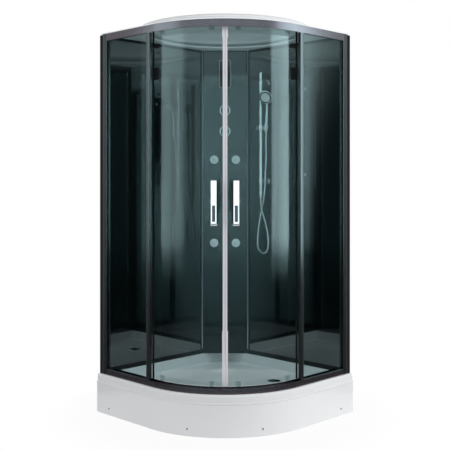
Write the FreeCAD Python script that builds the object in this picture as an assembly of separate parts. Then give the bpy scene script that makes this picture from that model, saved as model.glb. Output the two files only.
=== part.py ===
import FreeCAD, Part
import math
import os

os.makedirs("parts", exist_ok=True)
V = FreeCAD.Vector

# ---------------------------------------------------------------- driving dimensions, mm
HALF = 500.0  # half of the square footprint; the room corner is at (-HALF, HALF)
CENTRE = 50.0  # the front arc's centre is at (-CENTRE, CENTRE)
TRAY_R = HALF + CENTRE  # radius of the skirt's top lip
FRAME_R = 528.0  # outer face of both front rails
SKIRT_TOP = 171.0
RAIL_BASE = 210.0  # top of the tray's rim
RAIL_TOP = 2080.0
TOTAL_TOP = 2150.0
FLOOR_Z = 150.0  # tray floor

BOTTOM_RAIL_H = 28.0
BOTTOM_RAIL_R = 479.0  # inner face of the bottom rail
TOP_RAIL_H = 39.0
TOP_RAIL_R = 481.0
LEDGE_Z = 2059.0  # the door wheels roll on this ledge
GROOVE_Z = 220.0  # floor of both grooves in the bottom rail

GLASS_T = 6.0
DOOR_R = 480.0  # inner face of the curved glass
DOOR_EDGE = -44.3  # degrees: the meeting edge, 5.9 mm short of the middle
DOOR_TAIL = 45.0  # flat end of the door glass behind the middle post
DOOR_Z = (243.0, 2051.0)
HANGERS = (-37.0, -2.0)  # degrees round the arc
WHEEL_R = 496.0  # radius of the path of the door wheels
WHEEL = dict(r=7.9, bore=2.55, axle=2.5, z=2067.0, width=7.0)
HANDLE = dict(angle=-38.7, width=33.0, z=(1048.0, 1276.0), gap=24.0, inner_gap=30.0, thick=8.0)

MID_POST = dict(y=(76.0, 102.0), x=(460.0, 478.0))
WALL_POST = dict(y=(441.0, 475.0), x=(450.0, 478.0))
FIXED_X = 465.0  # inner face of the flat fixed glass
WALL_Y = 476.0  # inner face of the wall frames
WALL_GLASS = (480.0, 484.0)
WALL_GLASS_Z = (234.0, 2060.0)  # between the frame's sill and its head
WALL_TOP = 2076.0

PANEL_HW = 142.8  # half width of the corner panel
PANEL_W = 379.0  # the panel's face passes through (-PANEL_W, PANEL_W)
PANEL_Z = (210.0, 2074.0)  # from the tray's rim to the ceiling
JET_U = 67.0
JET_Z = (890.0, 1149.0, 1402.0)
KNOB_Z = (1575.0, 1702.0)
PLUMB_Y = 52.0  # depth of the pipes behind the panel's face
FEED_Z = 1269.0  # the hidden pipe and the lower bracket of the shower rail
LAMP = dict(hw=36.0, z=(1844.0, 2016.0), r=12.0)

RAIL_X = -117.0
RAIL_Y = 419.0
RAIL_R = 12.0
RAIL_Z = (1208.0, 1924.0)
BRACKET_Z = (FEED_Z, 1860.0)
SLIDER_Z = 1589.0
HOLDER_X = -72.0
HOSE_R = 6.5

DRAIN = (140.0, 250.0)
FEET = ((-455, 455), (425, 455), (-455, -425), (425, 45), (-45, -425), (0, 0))


# ---------------------------------------------------------------- helpers
def box(x0, x1, y0, y1, z0, z1):
    return Part.makeBox(x1 - x0, y1 - y0, z1 - z0, V(x0, y0, z0))


def rod(r, p, q):
    """Cylinder from p to q."""
    a, b = V(*p), V(*q)
    return Part.makeCylinder(r, (b - a).Length, a, b - a)


def fuse(shapes):
    """Union, one shape at a time."""
    shapes = list(shapes)
    whole = shapes[0]
    for shape in shapes[1:]:
        whole = whole.fuse(shape)
    return whole.removeSplitter()


def plate(points, z0, z1):
    """Prism on a polygon."""
    wire = Part.makePolygon([V(x, y, z0) for x, y in points + points[:1]])
    return Part.Face(wire).extrude(V(0, 0, z1 - z0))


def mirrored(shape):
    """The same thing on the other side of the cabin's diagonal."""
    return shape.mirror(V(0, 0, 0), V(1, 1, 0))


def both(shape):
    return Part.makeCompound([shape, mirrored(shape)])


def save(name, shape):
    shape.exportStep("parts/" + name + ".step")
    print(name, len(shape.Solids), "solids", round(shape.Volume / 1000, 1), "cm3", shape.isValid())


def front_edges(r, end):
    """Edges of the cabin's front line at radius r, from the back wall side round to the left side."""
    x = r - CENTRE
    p0, p1, p2, p3 = V(x, end, 0), V(x, CENTRE, 0), V(-CENTRE, -x, 0), V(-end, -x, 0)
    s = r * math.sqrt(0.5)
    mid = V(-CENTRE + s, CENTRE - s, 0)
    return [Part.makeLine(p0, p1), Part.Arc(p1, mid, p2).toShape(), Part.makeLine(p2, p3)], p0, p3


def quadrant(front, wall, z0, z1):
    """Block in the plan shape of the cabin, inset from the front and from the walls."""
    edges, p0, p3 = front_edges(TRAY_R - front, HALF - wall)
    corner = V(-HALF + wall, HALF - wall, 0)
    edges += [Part.makeLine(p3, corner), Part.makeLine(corner, p0)]
    solid = Part.Face(Part.Wire(edges)).extrude(V(0, 0, z1 - z0))
    solid.translate(V(0, 0, z0))
    return solid


def front_band(r0, r1, z0, z1, end):
    """Curved bar with straight ends that follows the cabin's front."""
    inner, a0, a3 = front_edges(r0, end)
    outer, b0, b3 = front_edges(r1, end)
    edges = outer + [Part.makeLine(b3, a3)] + inner + [Part.makeLine(a0, b0)]
    solid = Part.Face(Part.Wire(Part.__sortEdges__(edges))).extrude(V(0, 0, z1 - z0))
    solid.translate(V(0, 0, z0))
    return solid


def polar(r, angle):
    a = math.radians(angle)
    return V(-CENTRE + r * math.cos(a), CENTRE + r * math.sin(a), 0)


def sector(r0, r1, a0, a1, z0, z1, tail=0.0):
    """Curved wall from a0 to a1 degrees, with a flat tail beyond a1 when a1 is 0."""
    am = 0.5 * (a0 + a1)
    p = [polar(r0, a0), polar(r0, a1), polar(r1, a1), polar(r1, a0)]
    edges = [
        Part.Arc(p[0], polar(r0, am), p[1]).toShape(),
        Part.Arc(p[2], polar(r1, am), p[3]).toShape(),
        Part.makeLine(p[3], p[0]),
    ]
    if tail:
        q0, q1 = p[1] + V(0, tail, 0), p[2] + V(0, tail, 0)
        edges += [Part.makeLine(p[1], q0), Part.makeLine(q0, q1), Part.makeLine(q1, p[2])]
    else:
        edges.append(Part.makeLine(p[1], p[2]))
    solid = Part.Face(Part.Wire(Part.__sortEdges__(edges))).extrude(V(0, 0, z1 - z0))
    solid.translate(V(0, 0, z0))
    return solid


def on_arc(shape, angle):
    """Turn a shape drawn with x as radius so that it stands at an angle on the front arc."""
    shape = shape.copy()
    shape.rotate(V(0, 0, 0), V(0, 0, 1), angle)
    shape.translate(V(-CENTRE, CENTRE, 0))
    return shape


def on_panel(shape):
    """Set a shape drawn with x to the right, y into the wall, on the corner panel's face."""
    shape = shape.copy()
    shape.rotate(V(0, 0, 0), V(0, 0, 1), 45)
    shape.translate(V(-PANEL_W, PANEL_W, 0))
    return shape


def turned(profile):
    """Solid of revolution about z through the origin, from (radius, height) points."""
    wire = Part.makePolygon([V(r, 0, z) for r, z in profile + profile[:1]])
    return Part.Face(wire).revolve(V(0, 0, 0), V(0, 0, 1), 360)


def facing(shape, z, u=0.0):
    """Lay a shape turned about +z so that it points out of the corner panel."""
    shape = shape.copy()
    shape.rotate(V(0, 0, 0), V(1, 0, 0), 90)
    shape.translate(V(u, 0, z))
    return on_panel(shape)


def rounded_box(hw, z0, z1, r, y0, y1):
    """Plate with rounded corners in the x, z plane."""
    solid = box(-hw, hw, y0, y1, z0, z1)
    edges = [e for e in solid.Edges if abs(e.Vertexes[0].Y - e.Vertexes[-1].Y) > 0.5 * (y1 - y0)]
    return solid.makeFillet(r, edges)


# ---------------------------------------------------------------- tray and what is under it
RIM_R = TRAY_R - 4.5
tray = quadrant(TRAY_R - RIM_R, 0, SKIRT_TOP, RAIL_BASE)
lip = [
    e for e in tray.Edges
    if abs(e.BoundBox.ZMin - RAIL_BASE) < 0.01 and abs(e.BoundBox.ZMax - RAIL_BASE) < 0.01
    and (e.CenterOfMass.x > 380 or e.CenterOfMass.y < -380 or e.Curve.TypeId == "Part::GeomCircle")
    and e.CenterOfMass.x - e.CenterOfMass.y > 0
]
tray = tray.makeFillet(9.0, lip)
tray = tray.cut(quadrant(11, 6, SKIRT_TOP - 1, RAIL_BASE - 6))
tray = tray.fuse(quadrant(74, 30, FLOOR_Z - 8, RAIL_BASE - 5))
basin = quadrant(82, 38, FLOOR_Z, RAIL_BASE + 1)
floor_edges = [e for e in basin.Edges if abs(e.BoundBox.ZMax - FLOOR_Z) < 0.01]
tray = tray.cut(basin.makeFillet(12.0, floor_edges))
tray = tray.cut(rod(31, DRAIN + (FLOOR_Z - 10,), DRAIN + (FLOOR_Z + 1,)))
save("tray", tray.removeSplitter())

SKIRT_BACK = 8.0
skirt = front_band(TRAY_R - SKIRT_BACK, TRAY_R - 2.5, 0, SKIRT_TOP - 8, HALF)
skirt = skirt.fuse(front_band(TRAY_R - SKIRT_BACK, TRAY_R, SKIRT_TOP - 9, SKIRT_TOP, HALF))
skirt = skirt.fuse(front_band(TRAY_R - 22, TRAY_R - SKIRT_BACK + 0.5, 0, 4, HALF))
SCREW_Z = 36.0
SCREW_ARC = 20.2  # degrees each side of the middle
STUB_SCREW = 392.0  # distance along the wall side


def at_screws(shape):
    """Four copies of a shape drawn with x as radius, at the skirt's screws."""
    out = [on_arc(shape, -45 - SCREW_ARC), on_arc(shape, -45 + SCREW_ARC)]
    right = shape.copy()
    right.translate(V(-CENTRE, STUB_SCREW, 0))
    return out + [right, mirrored(right)]


holes = at_screws(rod(2.3, (TRAY_R - 30, 0, SCREW_Z), (TRAY_R, 0, SCREW_Z)))
skirt = skirt.cut(Part.makeCompound(holes))
save("tray_skirt", skirt.removeSplitter())

SKIRT_FACE = TRAY_R - 2.5
cap = rod(7.0, (SKIRT_FACE, 0, SCREW_Z), (SKIRT_FACE + 1.2, 0, SCREW_Z))
cap = cap.cut(rod(2.3, (SKIRT_FACE - 1, 0, SCREW_Z), (SKIRT_FACE + 3, 0, SCREW_Z)))
save("skirt_caps", Part.makeCompound(at_screws(cap)))
screw = rod(4.2, (SKIRT_FACE + 1.2, 0, SCREW_Z), (SKIRT_FACE + 2.4, 0, SCREW_Z))
screw = screw.fuse(rod(2.0, (SKIRT_FACE - 14, 0, SCREW_Z), (SKIRT_FACE + 1.3, 0, SCREW_Z)))
save("skirt_screws", Part.makeCompound(at_screws(screw)))

TUBE = 30.0
TUBE_TOP = FLOOR_Z - 8


def channel(x0, x1, y0, y1, wall=2.5):
    """Steel channel, open below."""
    outer = box(x0, x1, y0, y1, TUBE_TOP - TUBE, TUBE_TOP)
    return outer, box(x0 + wall, x1 - wall, y0 + wall, y1 - wall, TUBE_TOP - TUBE - 1, TUBE_TOP - wall)


pairs = [
    channel(-440, 440, 440, 470),
    channel(-470, -440, -440, 470),
    channel(410, 440, 20, 470),
    channel(-440, -20, -440, -410),
]
for length, shift in ((1000, -160), (644, 296)):
    across = shift > 0
    bar = channel(-length / 2, length / 2, -TUBE / 2, TUBE / 2)
    for piece in bar:
        piece.rotate(V(0, 0, 0), V(0, 0, 1), 45 if across else -45)
        piece.translate(V(shift, -shift, 0) * math.sqrt(0.5))
    pairs.append(bar)
frame = fuse(p[0] for p in pairs).cut(fuse(p[1] for p in pairs))
CLIP_FACE = TRAY_R - SKIRT_BACK - 0.2  # just clear of the skirt's curved back
clip = box(CLIP_FACE - 3, CLIP_FACE, -10, 10, 20, TUBE_TOP - 4)
clip = clip.fuse(box(TRAY_R - 96, CLIP_FACE, -10, 10, TUBE_TOP - 7, TUBE_TOP - 4))
clip = clip.cut(rod(2.05, (TRAY_R - 30, 0, SCREW_Z), (TRAY_R, 0, SCREW_Z)))
brace = box(TRAY_R - 170, TRAY_R - 95, -10, 10, TUBE_TOP - 7, TUBE_TOP - 4)
braces = [on_arc(brace, -45 - SCREW_ARC), on_arc(brace, -45 + SCREW_ARC)]
frame = fuse([frame] + at_screws(clip) + braces)
save("tray_frame", frame)

HEXAGON = [(11 * math.cos(k * math.pi / 3), 11 * math.sin(k * math.pi / 3)) for k in range(6)]
feet = []
for x, y in FEET:
    foot = turned([(0, 0), (25, 0), (25, 5), (12, 10), (6, 10), (6, TUBE_TOP - 2.5), (0, TUBE_TOP - 2.5)])
    for z in (14, TUBE_TOP - 12.5):
        foot = foot.fuse(plate(HEXAGON, z, z + 10))
    foot.translate(V(x, y, 0))
    feet.append(foot.removeSplitter())
save("tray_feet", Part.makeCompound(feet))

PIPE_Z = 74.0
PIPE_R = 20.0
SPIGOT = 80.0  # free end of the pipe, from its bead to the back wall


def drain_pipe(r, y0, y1):
    """Cylinder on the waste pipe's axis, which runs straight to the back wall."""
    return rod(r, (DRAIN[0], y0, PIPE_Z), (DRAIN[0], y1, PIPE_Z))


trap = rod(56, DRAIN + (FLOOR_Z - 14,), DRAIN + (FLOOR_Z - 8,))
trap = trap.fuse(rod(50, DRAIN + (48,), DRAIN + (FLOOR_Z - 14,)))
trap = trap.fuse(drain_pipe(PIPE_R, DRAIN[1], HALF))
trap = trap.fuse(drain_pipe(PIPE_R + 5, HALF - SPIGOT - 16, HALF - SPIGOT))
trap = trap.cut(rod(31, DRAIN + (52,), DRAIN + (FLOOR_Z,)))
trap = trap.cut(drain_pipe(PIPE_R - 2.5, DRAIN[1], HALF + 1))
save("drain_trap", trap.removeSplitter())

cover = turned([(0, 0.2), (37, 0.2), (37, 2.2), (33, 4.6), (20, 6.2), (0, 6.6)])
cover = cover.fuse(turned([(24, 0.3), (26, 0.3), (26, -12), (24, -12)]))
for k in range(6):
    slot = box(26.5, 32, -2.5, 2.5, -0.5, 8)
    slot.rotate(V(0, 0, 0), V(0, 0, 1), 60 * k)
    cover = cover.cut(slot)
cover.translate(V(DRAIN[0], DRAIN[1], FLOOR_Z))
save("drain_cover", cover.removeSplitter())

# ---------------------------------------------------------------- front frame
END = WALL_POST["y"][0]
low = front_band(BOTTOM_RAIL_R, FRAME_R, RAIL_BASE, RAIL_BASE + BOTTOM_RAIL_H, END)
low = low.cut(front_band(BOTTOM_RAIL_R + 3, 510, GROOVE_Z, 240, END + 1))
low = low.cut(front_band(513, 525, GROOVE_Z, 240, END + 1))
save("bottom_rail", low)

top = front_band(TOP_RAIL_R, FRAME_R, RAIL_TOP - TOP_RAIL_H, RAIL_TOP, END)
top = top.cut(front_band(TOP_RAIL_R - 5, FRAME_R - 2, LEDGE_Z + 2.5, RAIL_TOP - 3, END + 1))
top = top.cut(front_band(TOP_RAIL_R + 2, FRAME_R - 2, LEDGE_Z, RAIL_TOP - 3, END + 1))
top = top.cut(front_band(TOP_RAIL_R - 5, FRAME_R - 2, RAIL_TOP - TOP_RAIL_H - 1, LEDGE_Z - 3, END + 1))
save("top_rail", top)

fixed = box(FIXED_X, FIXED_X + GLASS_T, 90, 455, GROOVE_Z + 3, LEDGE_Z - 8)
save("fixed_glass", both(fixed))

RAIL_LIP = RAIL_BASE + BOTTOM_RAIL_H
mid = box(*MID_POST["x"], *MID_POST["y"], RAIL_LIP, RAIL_TOP - TOP_RAIL_H)
mid = mid.cut(box(FIXED_X - 1, FIXED_X + GLASS_T + 1, 89, 103, 200, 2060))
save("mid_posts", both(mid))
wall = box(*WALL_POST["x"], *WALL_POST["y"], RAIL_BASE, RAIL_TOP)
wall = wall.cut(box(FIXED_X - 1, FIXED_X + GLASS_T + 1, 440, 456, GROOVE_Z, LEDGE_Z - 6))
save("wall_posts", both(wall))
strip = box(WALL_POST["x"][0] + 2, WALL_POST["x"][1] - 1.5, 475, 476, RAIL_BASE + 1, WALL_TOP)
save("post_gaskets", both(strip))

y0, y1 = MID_POST["y"][1], WALL_POST["y"][0]
seals = []
for z0, z1 in ((GROOVE_Z, RAIL_LIP + 2), (RAIL_TOP - TOP_RAIL_H, LEDGE_Z - 3)):
    seals.append(box(FIXED_X - 1.8, FIXED_X + GLASS_T + 1.8, y0, y1, z0, z1).cut(fixed))
save("glass_seals", Part.makeCompound(seals + [mirrored(s) for s in seals]))

# ---------------------------------------------------------------- walls and corner panel
INNER = -302.0
side = box(INNER, 478, WALL_Y, HALF, RAIL_BASE, WALL_TOP)
side = side.cut(box(INNER - 1, -270, WALL_Y - 1, WALL_GLASS[0], RAIL_BASE - 1, WALL_TOP + 1))
side = side.cut(box(-269, 463, WALL_Y - 1, WALL_GLASS[1], *WALL_GLASS_Z))
side = side.cut(box(-262, 456, WALL_GLASS[0], HALF + 1, WALL_GLASS_Z[0] + 8, WALL_GLASS_Z[1] - 8))
side = side.cut(rod(6, (INNER - 5, 492, FEED_Z), (-255, 492, FEED_Z)))
save("wall_frames", both(side))
pane = box(-269, 463, *WALL_GLASS, *WALL_GLASS_Z)
holed = pane.cut(rod(7, (RAIL_X, 470, FEED_Z), (RAIL_X, HALF, FEED_Z)))
save("wall_glass", Part.makeCompound([holed, mirrored(pane)]))

PANEL_T = 6.0
back_hw = PANEL_HW - PANEL_T
panel = plate([(-PANEL_HW, 0), (PANEL_HW, 0), (back_hw, PANEL_T), (-back_hw, PANEL_T)], *PANEL_Z)
panel = on_panel(panel)
JETS = [(u, z) for z in JET_Z for u in (-JET_U, JET_U)]
panel = panel.cut(fuse(facing(rod(22.2, (0, 0, -9), (0, 0, 2)), z, u) for u, z in JETS))
panel = panel.cut(fuse(facing(rod(16.2, (0, 0, -9), (0, 0, 2)), z) for z in KNOB_Z))
save("corner_panel", panel)
TRIM_U = 139.6
TRIM_Z = (240.0, 2072.0)
trims = [box(u - 3.2, u + 3.2, -2.2, 0, *TRIM_Z) for u in (-TRIM_U, TRIM_U)]
save("panel_trims", on_panel(Part.makeCompound(trims)))

z0, z1 = LAMP["z"]
bezel = rounded_box(LAMP["hw"], z0, z1, LAMP["r"], -3, 0)
bezel = bezel.cut(rounded_box(LAMP["hw"] - 4, z0 + 4, z1 - 4, LAMP["r"] - 4, -4, 1))
save("lamp_bezel", on_panel(bezel))
lens = rounded_box(LAMP["hw"] - 4, z0 + 4, z1 - 4, LAMP["r"] - 4, -2, 0)
save("lamp_lens", on_panel(lens))

BALL_R = 17.0
BALL_Y = 6.0
ring = turned([(0, 0), (26, 0), (26, 3), (23.5, 5), (0, 5)])
ring = ring.fuse(rod(22, (0, 0, -34), (0, 0, 1)))
ring = ring.cut(Part.makeSphere(BALL_R + 0.06, V(0, 0, -BALL_Y)))
ring = ring.cut(rod(7, (0, 0, -36), (0, 0, -10)))
save("jet_rings", Part.makeCompound([facing(ring.removeSplitter(), z, u) for u, z in JETS]))
ball = Part.makeSphere(BALL_R, V(0, 0, -BALL_Y))
ball = ball.cut(box(-20, 20, -20, 20, 8, 20)).cut(rod(3, (0, 0, -30), (0, 0, 20)))
for k, (u, z) in enumerate(JETS):
    save("jet_%d" % (k + 1), facing(ball, z, u))

VALVE_Z = (1535.0, 1742.0)
INLET_U = 60.0
INLET_Z = 1544.0
INLET = dict(r=10.48, length=20.0, elbow=17.0)  # G1/2 threads that point at the two room walls
valve = rod(24, (0, PLUMB_Y, VALVE_Z[0]), (0, PLUMB_Y, VALVE_Z[1]))
for z in KNOB_Z:
    valve = valve.fuse(rod(16, (0, PLUMB_Y, z), (0, 0, z))).fuse(rod(5, (0, 2, z), (0, -22, z)))
valve = valve.fuse(rod(10, (-INLET_U, PLUMB_Y, INLET_Z + 16), (INLET_U, PLUMB_Y, INLET_Z + 16)))
for s in (-1, 1):
    valve = valve.fuse(rod(15, (s * INLET_U, PLUMB_Y, INLET_Z - 18), (s * INLET_U, PLUMB_Y, INLET_Z + 30)))
elbow_x = -PANEL_W - (INLET_U + PLUMB_Y) * math.sqrt(0.5)
elbow_y = PANEL_W + (PLUMB_Y - INLET_U) * math.sqrt(0.5)
shoulder_x = elbow_x - INLET["elbow"]
end_x = shoulder_x - INLET["length"]
hot = rod(12.5, (elbow_x, elbow_y, INLET_Z), (shoulder_x, elbow_y, INLET_Z))
hot = hot.fuse(rod(INLET["r"], (shoulder_x + 5, elbow_y, INLET_Z), (end_x, elbow_y, INLET_Z)))
cold = rod(12.5, (-elbow_y, -elbow_x, INLET_Z), (-elbow_y, -shoulder_x, INLET_Z))
cold = cold.fuse(rod(INLET["r"], (-elbow_y, -shoulder_x - 5, INLET_Z), (-elbow_y, -end_x, INLET_Z)))
print("hot inlet at y", round(elbow_y, 3), "from x", round(shoulder_x, 3), "to", round(end_x, 3))
save("valve_body", fuse([on_panel(valve.removeSplitter()), hot, cold]))

pipes = [rod(8, (0, PLUMB_Y, FEED_Z), (0, PLUMB_Y, VALVE_Z[0]))]
pipes.append(rod(8, (-JET_U, PLUMB_Y, FEED_Z), (JET_U, PLUMB_Y, FEED_Z)))
for s in (-1, 1):
    pipes.append(rod(9, (s * JET_U, PLUMB_Y, JET_Z[0] - 12), (s * JET_U, PLUMB_Y, JET_Z[-1] + 12)))
    pipes += [rod(8.5, (s * JET_U, 34, z), (s * JET_U, PLUMB_Y, z)) for z in JET_Z]
feed = rod(5, (-330, 492, FEED_Z), (RAIL_X, 492, FEED_Z))
elbow = on_panel(rod(5, (JET_U, PLUMB_Y, FEED_Z), (114.55, 45.25, FEED_Z)))
end = Part.makeSphere(5, V(-330, 492, FEED_Z))
save("water_pipes", fuse([on_panel(fuse(pipes)), elbow, feed, end]))

KNOB_R = 36.0
knob = turned([(0, 23), (9, 23), (9, 29), (31, 30), (35, 32), (KNOB_R, 35), (34, 38.5), (28, 40), (0, 40.5)])
knob = knob.fuse(turned([(0, 2.2), (19, 2.2), (19, 5), (13, 9), (12, 24), (0, 24)]))
knob = knob.fuse(box(-3, 3, 30, 37.5, 32, 41.5))
knob = knob.cut(rod(5.05, (0, 0, 0), (0, 0, 22.5)))
for name, z in zip(("mixer_knob", "diverter_knob"), KNOB_Z):
    save(name, facing(knob.removeSplitter(), z))

# ---------------------------------------------------------------- roof
DOME_C = (-28.0, 28.0)
DOME_R = 480.0
CAP_EDGE = (452.0, 2112.0)
RECESS_R = 406.0  # opening in the ceiling under the dome


def dome(r, edge_r, edge_z, side_z, base_z, top_z):
    """Upright side, a shoulder in two slopes and a shallow spherical crown."""
    rise = top_z - edge_z
    ball_r = (edge_r**2 + rise**2) / (2 * rise)
    crown = Part.makeSphere(ball_r, V(0, 0, top_z - ball_r))
    crown = crown.common(rod(edge_r, (0, 0, edge_z), (0, 0, top_z + 1)))
    mid_r, mid_z = edge_r + 0.75 * (r - edge_r), edge_z - 0.3 * (edge_z - side_z)
    solid = fuse([
        rod(r, (0, 0, base_z), (0, 0, side_z)),
        Part.makeCone(r, mid_r, mid_z - side_z, V(0, 0, side_z)),
        Part.makeCone(mid_r, edge_r, edge_z - mid_z, V(0, 0, mid_z)),
        crown,
    ])
    solid.translate(V(*DOME_C, 0))
    return solid


keep = box(-HALF + 6, HALF, -HALF, HALF - 6, 2000, 2200)
outer = dome(DOME_R, *CAP_EDGE, 2099, RAIL_TOP, TOTAL_TOP).common(keep)
slab = quadrant(TRAY_R - FRAME_R + 2, 0, RAIL_TOP, RAIL_TOP + 6)
shelf = quadrant(TRAY_R - TOP_RAIL_R + 1, 24.5, RAIL_TOP - 6, RAIL_TOP + 1)
keep_in = box(-HALF + 13, HALF, -HALF, HALF - 13, 2000, 2200)
hollow = dome(DOME_R - 8, 446, 2105, 2093, RAIL_TOP + 3, TOTAL_TOP - 6).common(keep_in)
mouth = rod(RECESS_R, DOME_C + (RAIL_TOP - 7,), DOME_C + (RAIL_TOP + 4,))
save("roof", fuse([outer, slab, shelf]).cut(hollow).cut(mouth))

# ---------------------------------------------------------------- sliding doors, right one drawn
glass = sector(DOOR_R, DOOR_R + GLASS_T, DOOR_EDGE, 0, *DOOR_Z, tail=DOOR_TAIL)
strip = sector(DOOR_R - 4, DOOR_R + GLASS_T + 4, -44.94, -43.62, DOOR_Z[0] - 2, 2047).cut(glass)
for z0, z1 in ((241, 520), (1990, 2047)):
    strip = strip.fuse(sector(DOOR_R + GLASS_T, DOOR_R + GLASS_T + 4, -43.62, -43.28, z0, z1))
strip = strip.removeSplitter()

tail = box(DOOR_R - CENTRE + GLASS_T, DOOR_R - CENTRE + GLASS_T + 10, 84, 95, *DOOR_Z)
tail = tail.fuse(box(DOOR_R - CENTRE - 3, DOOR_R - CENTRE + GLASS_T + 1, 95, 98, *DOOR_Z))
tail = tail.fuse(box(DOOR_R - CENTRE + GLASS_T, DOOR_R - CENTRE + GLASS_T + 3, 95, 98, *DOOR_Z))
for z0, z1 in ((1962, 1985), (1798, 1861)):
    tail = tail.fuse(box(DOOR_R - CENTRE + GLASS_T, DOOR_R - CENTRE + GLASS_T + 8, 44, 84, z0, z1))

BOLT_R = 3.5  # the bolts that join the two handle bars through the glass


def bar(inner):
    """Handle bar with x as the distance from the arc's centre, slanted and bevelled at its foot."""
    x0 = DOOR_R + GLASS_T + HANDLE["gap"] if not inner else DOOR_R - HANDLE["inner_gap"] - HANDLE["thick"]
    x1, hw = x0 + HANDLE["thick"], HANDLE["width"] / 2
    low_z, high_z = HANDLE["z"]
    body = box(x0, x1, -hw, hw, low_z, high_z)
    body = body.makeFillet(2.5, [e for e in body.Edges if e.Length > 200])
    corners = [(x1 + 1, low_z - 1), (x1 + 1, low_z + 9), (x1 - 8, low_z - 1), (x1 + 1, low_z - 1)]
    foot = Part.Face(Part.makePolygon([V(x, 0, z) for x, z in corners]))
    foot.translate(V(0, -hw - 1, 0))
    if not inner:
        body = body.cut(foot.extrude(V(0, 2 * hw + 2, 0)))
        body = body.cut(box(x1 - 1.2, x1 + 1, -8.5, 8.5, low_z + 12, low_z + 94))
    stem_x = (DOOR_R + GLASS_T, x0 + 1) if not inner else (x1 - 1, DOOR_R)
    for z in (low_z + 34, high_z - 34):
        body = body.fuse(rod(7, (stem_x[0], 0, z), (stem_x[1], 0, z)))
        if inner:
            body = body.fuse(rod(BOLT_R, (DOOR_R - 1, 0, z), (DOOR_R + GLASS_T + HANDLE["gap"] + 1, 0, z)))
    return body


handle = on_arc(bar(False).fuse(bar(True)).removeSplitter(), HANDLE["angle"])
for z in (HANDLE["z"][0] + 34, HANDLE["z"][1] - 34):
    glass = glass.cut(on_arc(rod(BOLT_R, (DOOR_R - 5, 0, z), (DOOR_R + 15, 0, z)), HANDLE["angle"]))

HANGER_Z = (2036.0, 2049.0)  # mostly hidden by the top rail's front
GUIDE_Z = (239.2, 262.0)  # just clear of the bottom rail's lips
CLAMP_FACE = DOOR_R - 0.3  # flat clamp plates stop just short of the curved glass
hanger = box(DOOR_R - 9, CLAMP_FACE, -14, 14, *HANGER_Z)
hanger = hanger.fuse(box(DOOR_R - 12, DOOR_R - 8, -6, 6, HANGER_Z[0], 2073))
hanger = hanger.fuse(rod(WHEEL["axle"], (DOOR_R - 10, 0, WHEEL["z"]), (502, 0, WHEEL["z"])))
half = WHEEL["width"] / 2
hanger = hanger.fuse(rod(4.5, (DOOR_R - 9, 0, WHEEL["z"]), (WHEEL_R - half - 0.15, 0, WHEEL["z"])))
hanger = hanger.fuse(rod(4.5, (WHEEL_R + half + 0.15, 0, WHEEL["z"]), (502, 0, WHEEL["z"])))
guide = box(DOOR_R - 9, CLAMP_FACE, -12, 12, *GUIDE_Z)
guide = guide.fuse(box(DOOR_R - 9, WHEEL_R + 5, -6, 6, GUIDE_Z[0], GUIDE_Z[0] + 3.2))
guide = guide.fuse(rod(5, (WHEEL_R, 0, GROOVE_Z + 5), (WHEEL_R, 0, GUIDE_Z[0] + 1)))
mounted = []
for angle in HANGERS:
    mounted += [on_arc(hanger.removeSplitter(), angle), on_arc(guide.removeSplitter(), angle)]
tread = [(WHEEL["r"] - 1, -half), (WHEEL["r"], 1 - half), (WHEEL["r"] - 0.1, 0), (WHEEL["r"], half - 1),
         (WHEEL["r"] - 1, half)]
wheel = turned([(WHEEL["bore"], -half)] + tread + [(WHEEL["bore"], half)])
wheel.rotate(V(0, 0, 0), V(0, 1, 0), 90)
wheel.translate(V(WHEEL_R, 0, WHEEL["z"]))

door = {"door_glass": glass, "door_seal": strip, "door_tail": tail.removeSplitter(), "door_handle": handle,
        "door_hangers": Part.makeCompound(mounted)}
door.update({"wheel_%s" % n: on_arc(wheel, a) for n, a in zip("ab", HANGERS)})
for name, shape in door.items():
    save("right_" + name, shape)
    save("left_" + name, mirrored(shape))

# ---------------------------------------------------------------- shower rail
tube = rod(RAIL_R, (RAIL_X, RAIL_Y, RAIL_Z[0]), (RAIL_X, RAIL_Y, RAIL_Z[1]))
slant = box(-40, 40, -40, 40, 0, 60)
slant.rotate(V(0, 0, 0), V(0, 1, 0), -24)
slant.translate(V(RAIL_X, RAIL_Y, RAIL_Z[1] - 9))
tube = tube.cut(slant)
save("shower_rail", tube)

brackets = []
for z in BRACKET_Z:
    arm = rod(RAIL_R + 4, (RAIL_X, RAIL_Y, z - 15), (RAIL_X, RAIL_Y, z + 15))
    arm = arm.fuse(rod(10, (RAIL_X, RAIL_Y, z), (RAIL_X, WALL_GLASS[0], z)))
    arm = arm.fuse(rod(19, (RAIL_X, WALL_GLASS[0] - 6, z), (RAIL_X, WALL_GLASS[0], z)))
    if z == FEED_Z:
        arm = arm.fuse(rod(6.5, (RAIL_X, WALL_GLASS[0] - 2, z), (RAIL_X, 487, z)))
    arm = arm.cut(rod(RAIL_R, (RAIL_X, RAIL_Y, z - 20), (RAIL_X, RAIL_Y, z + 20)))
    brackets.append(arm.removeSplitter())
save("rail_brackets", Part.makeCompound(brackets))

OUTLET_Z = 1172.0
outlet = turned([(0, 0), (8, 0), (10.5, 2), (10.5, 16), (13.5, 18), (13.5, 34), (12.5, 36), (0, 36)])
outlet.translate(V(RAIL_X, RAIL_Y, OUTLET_Z))
save("rail_outlet", outlet)

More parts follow.
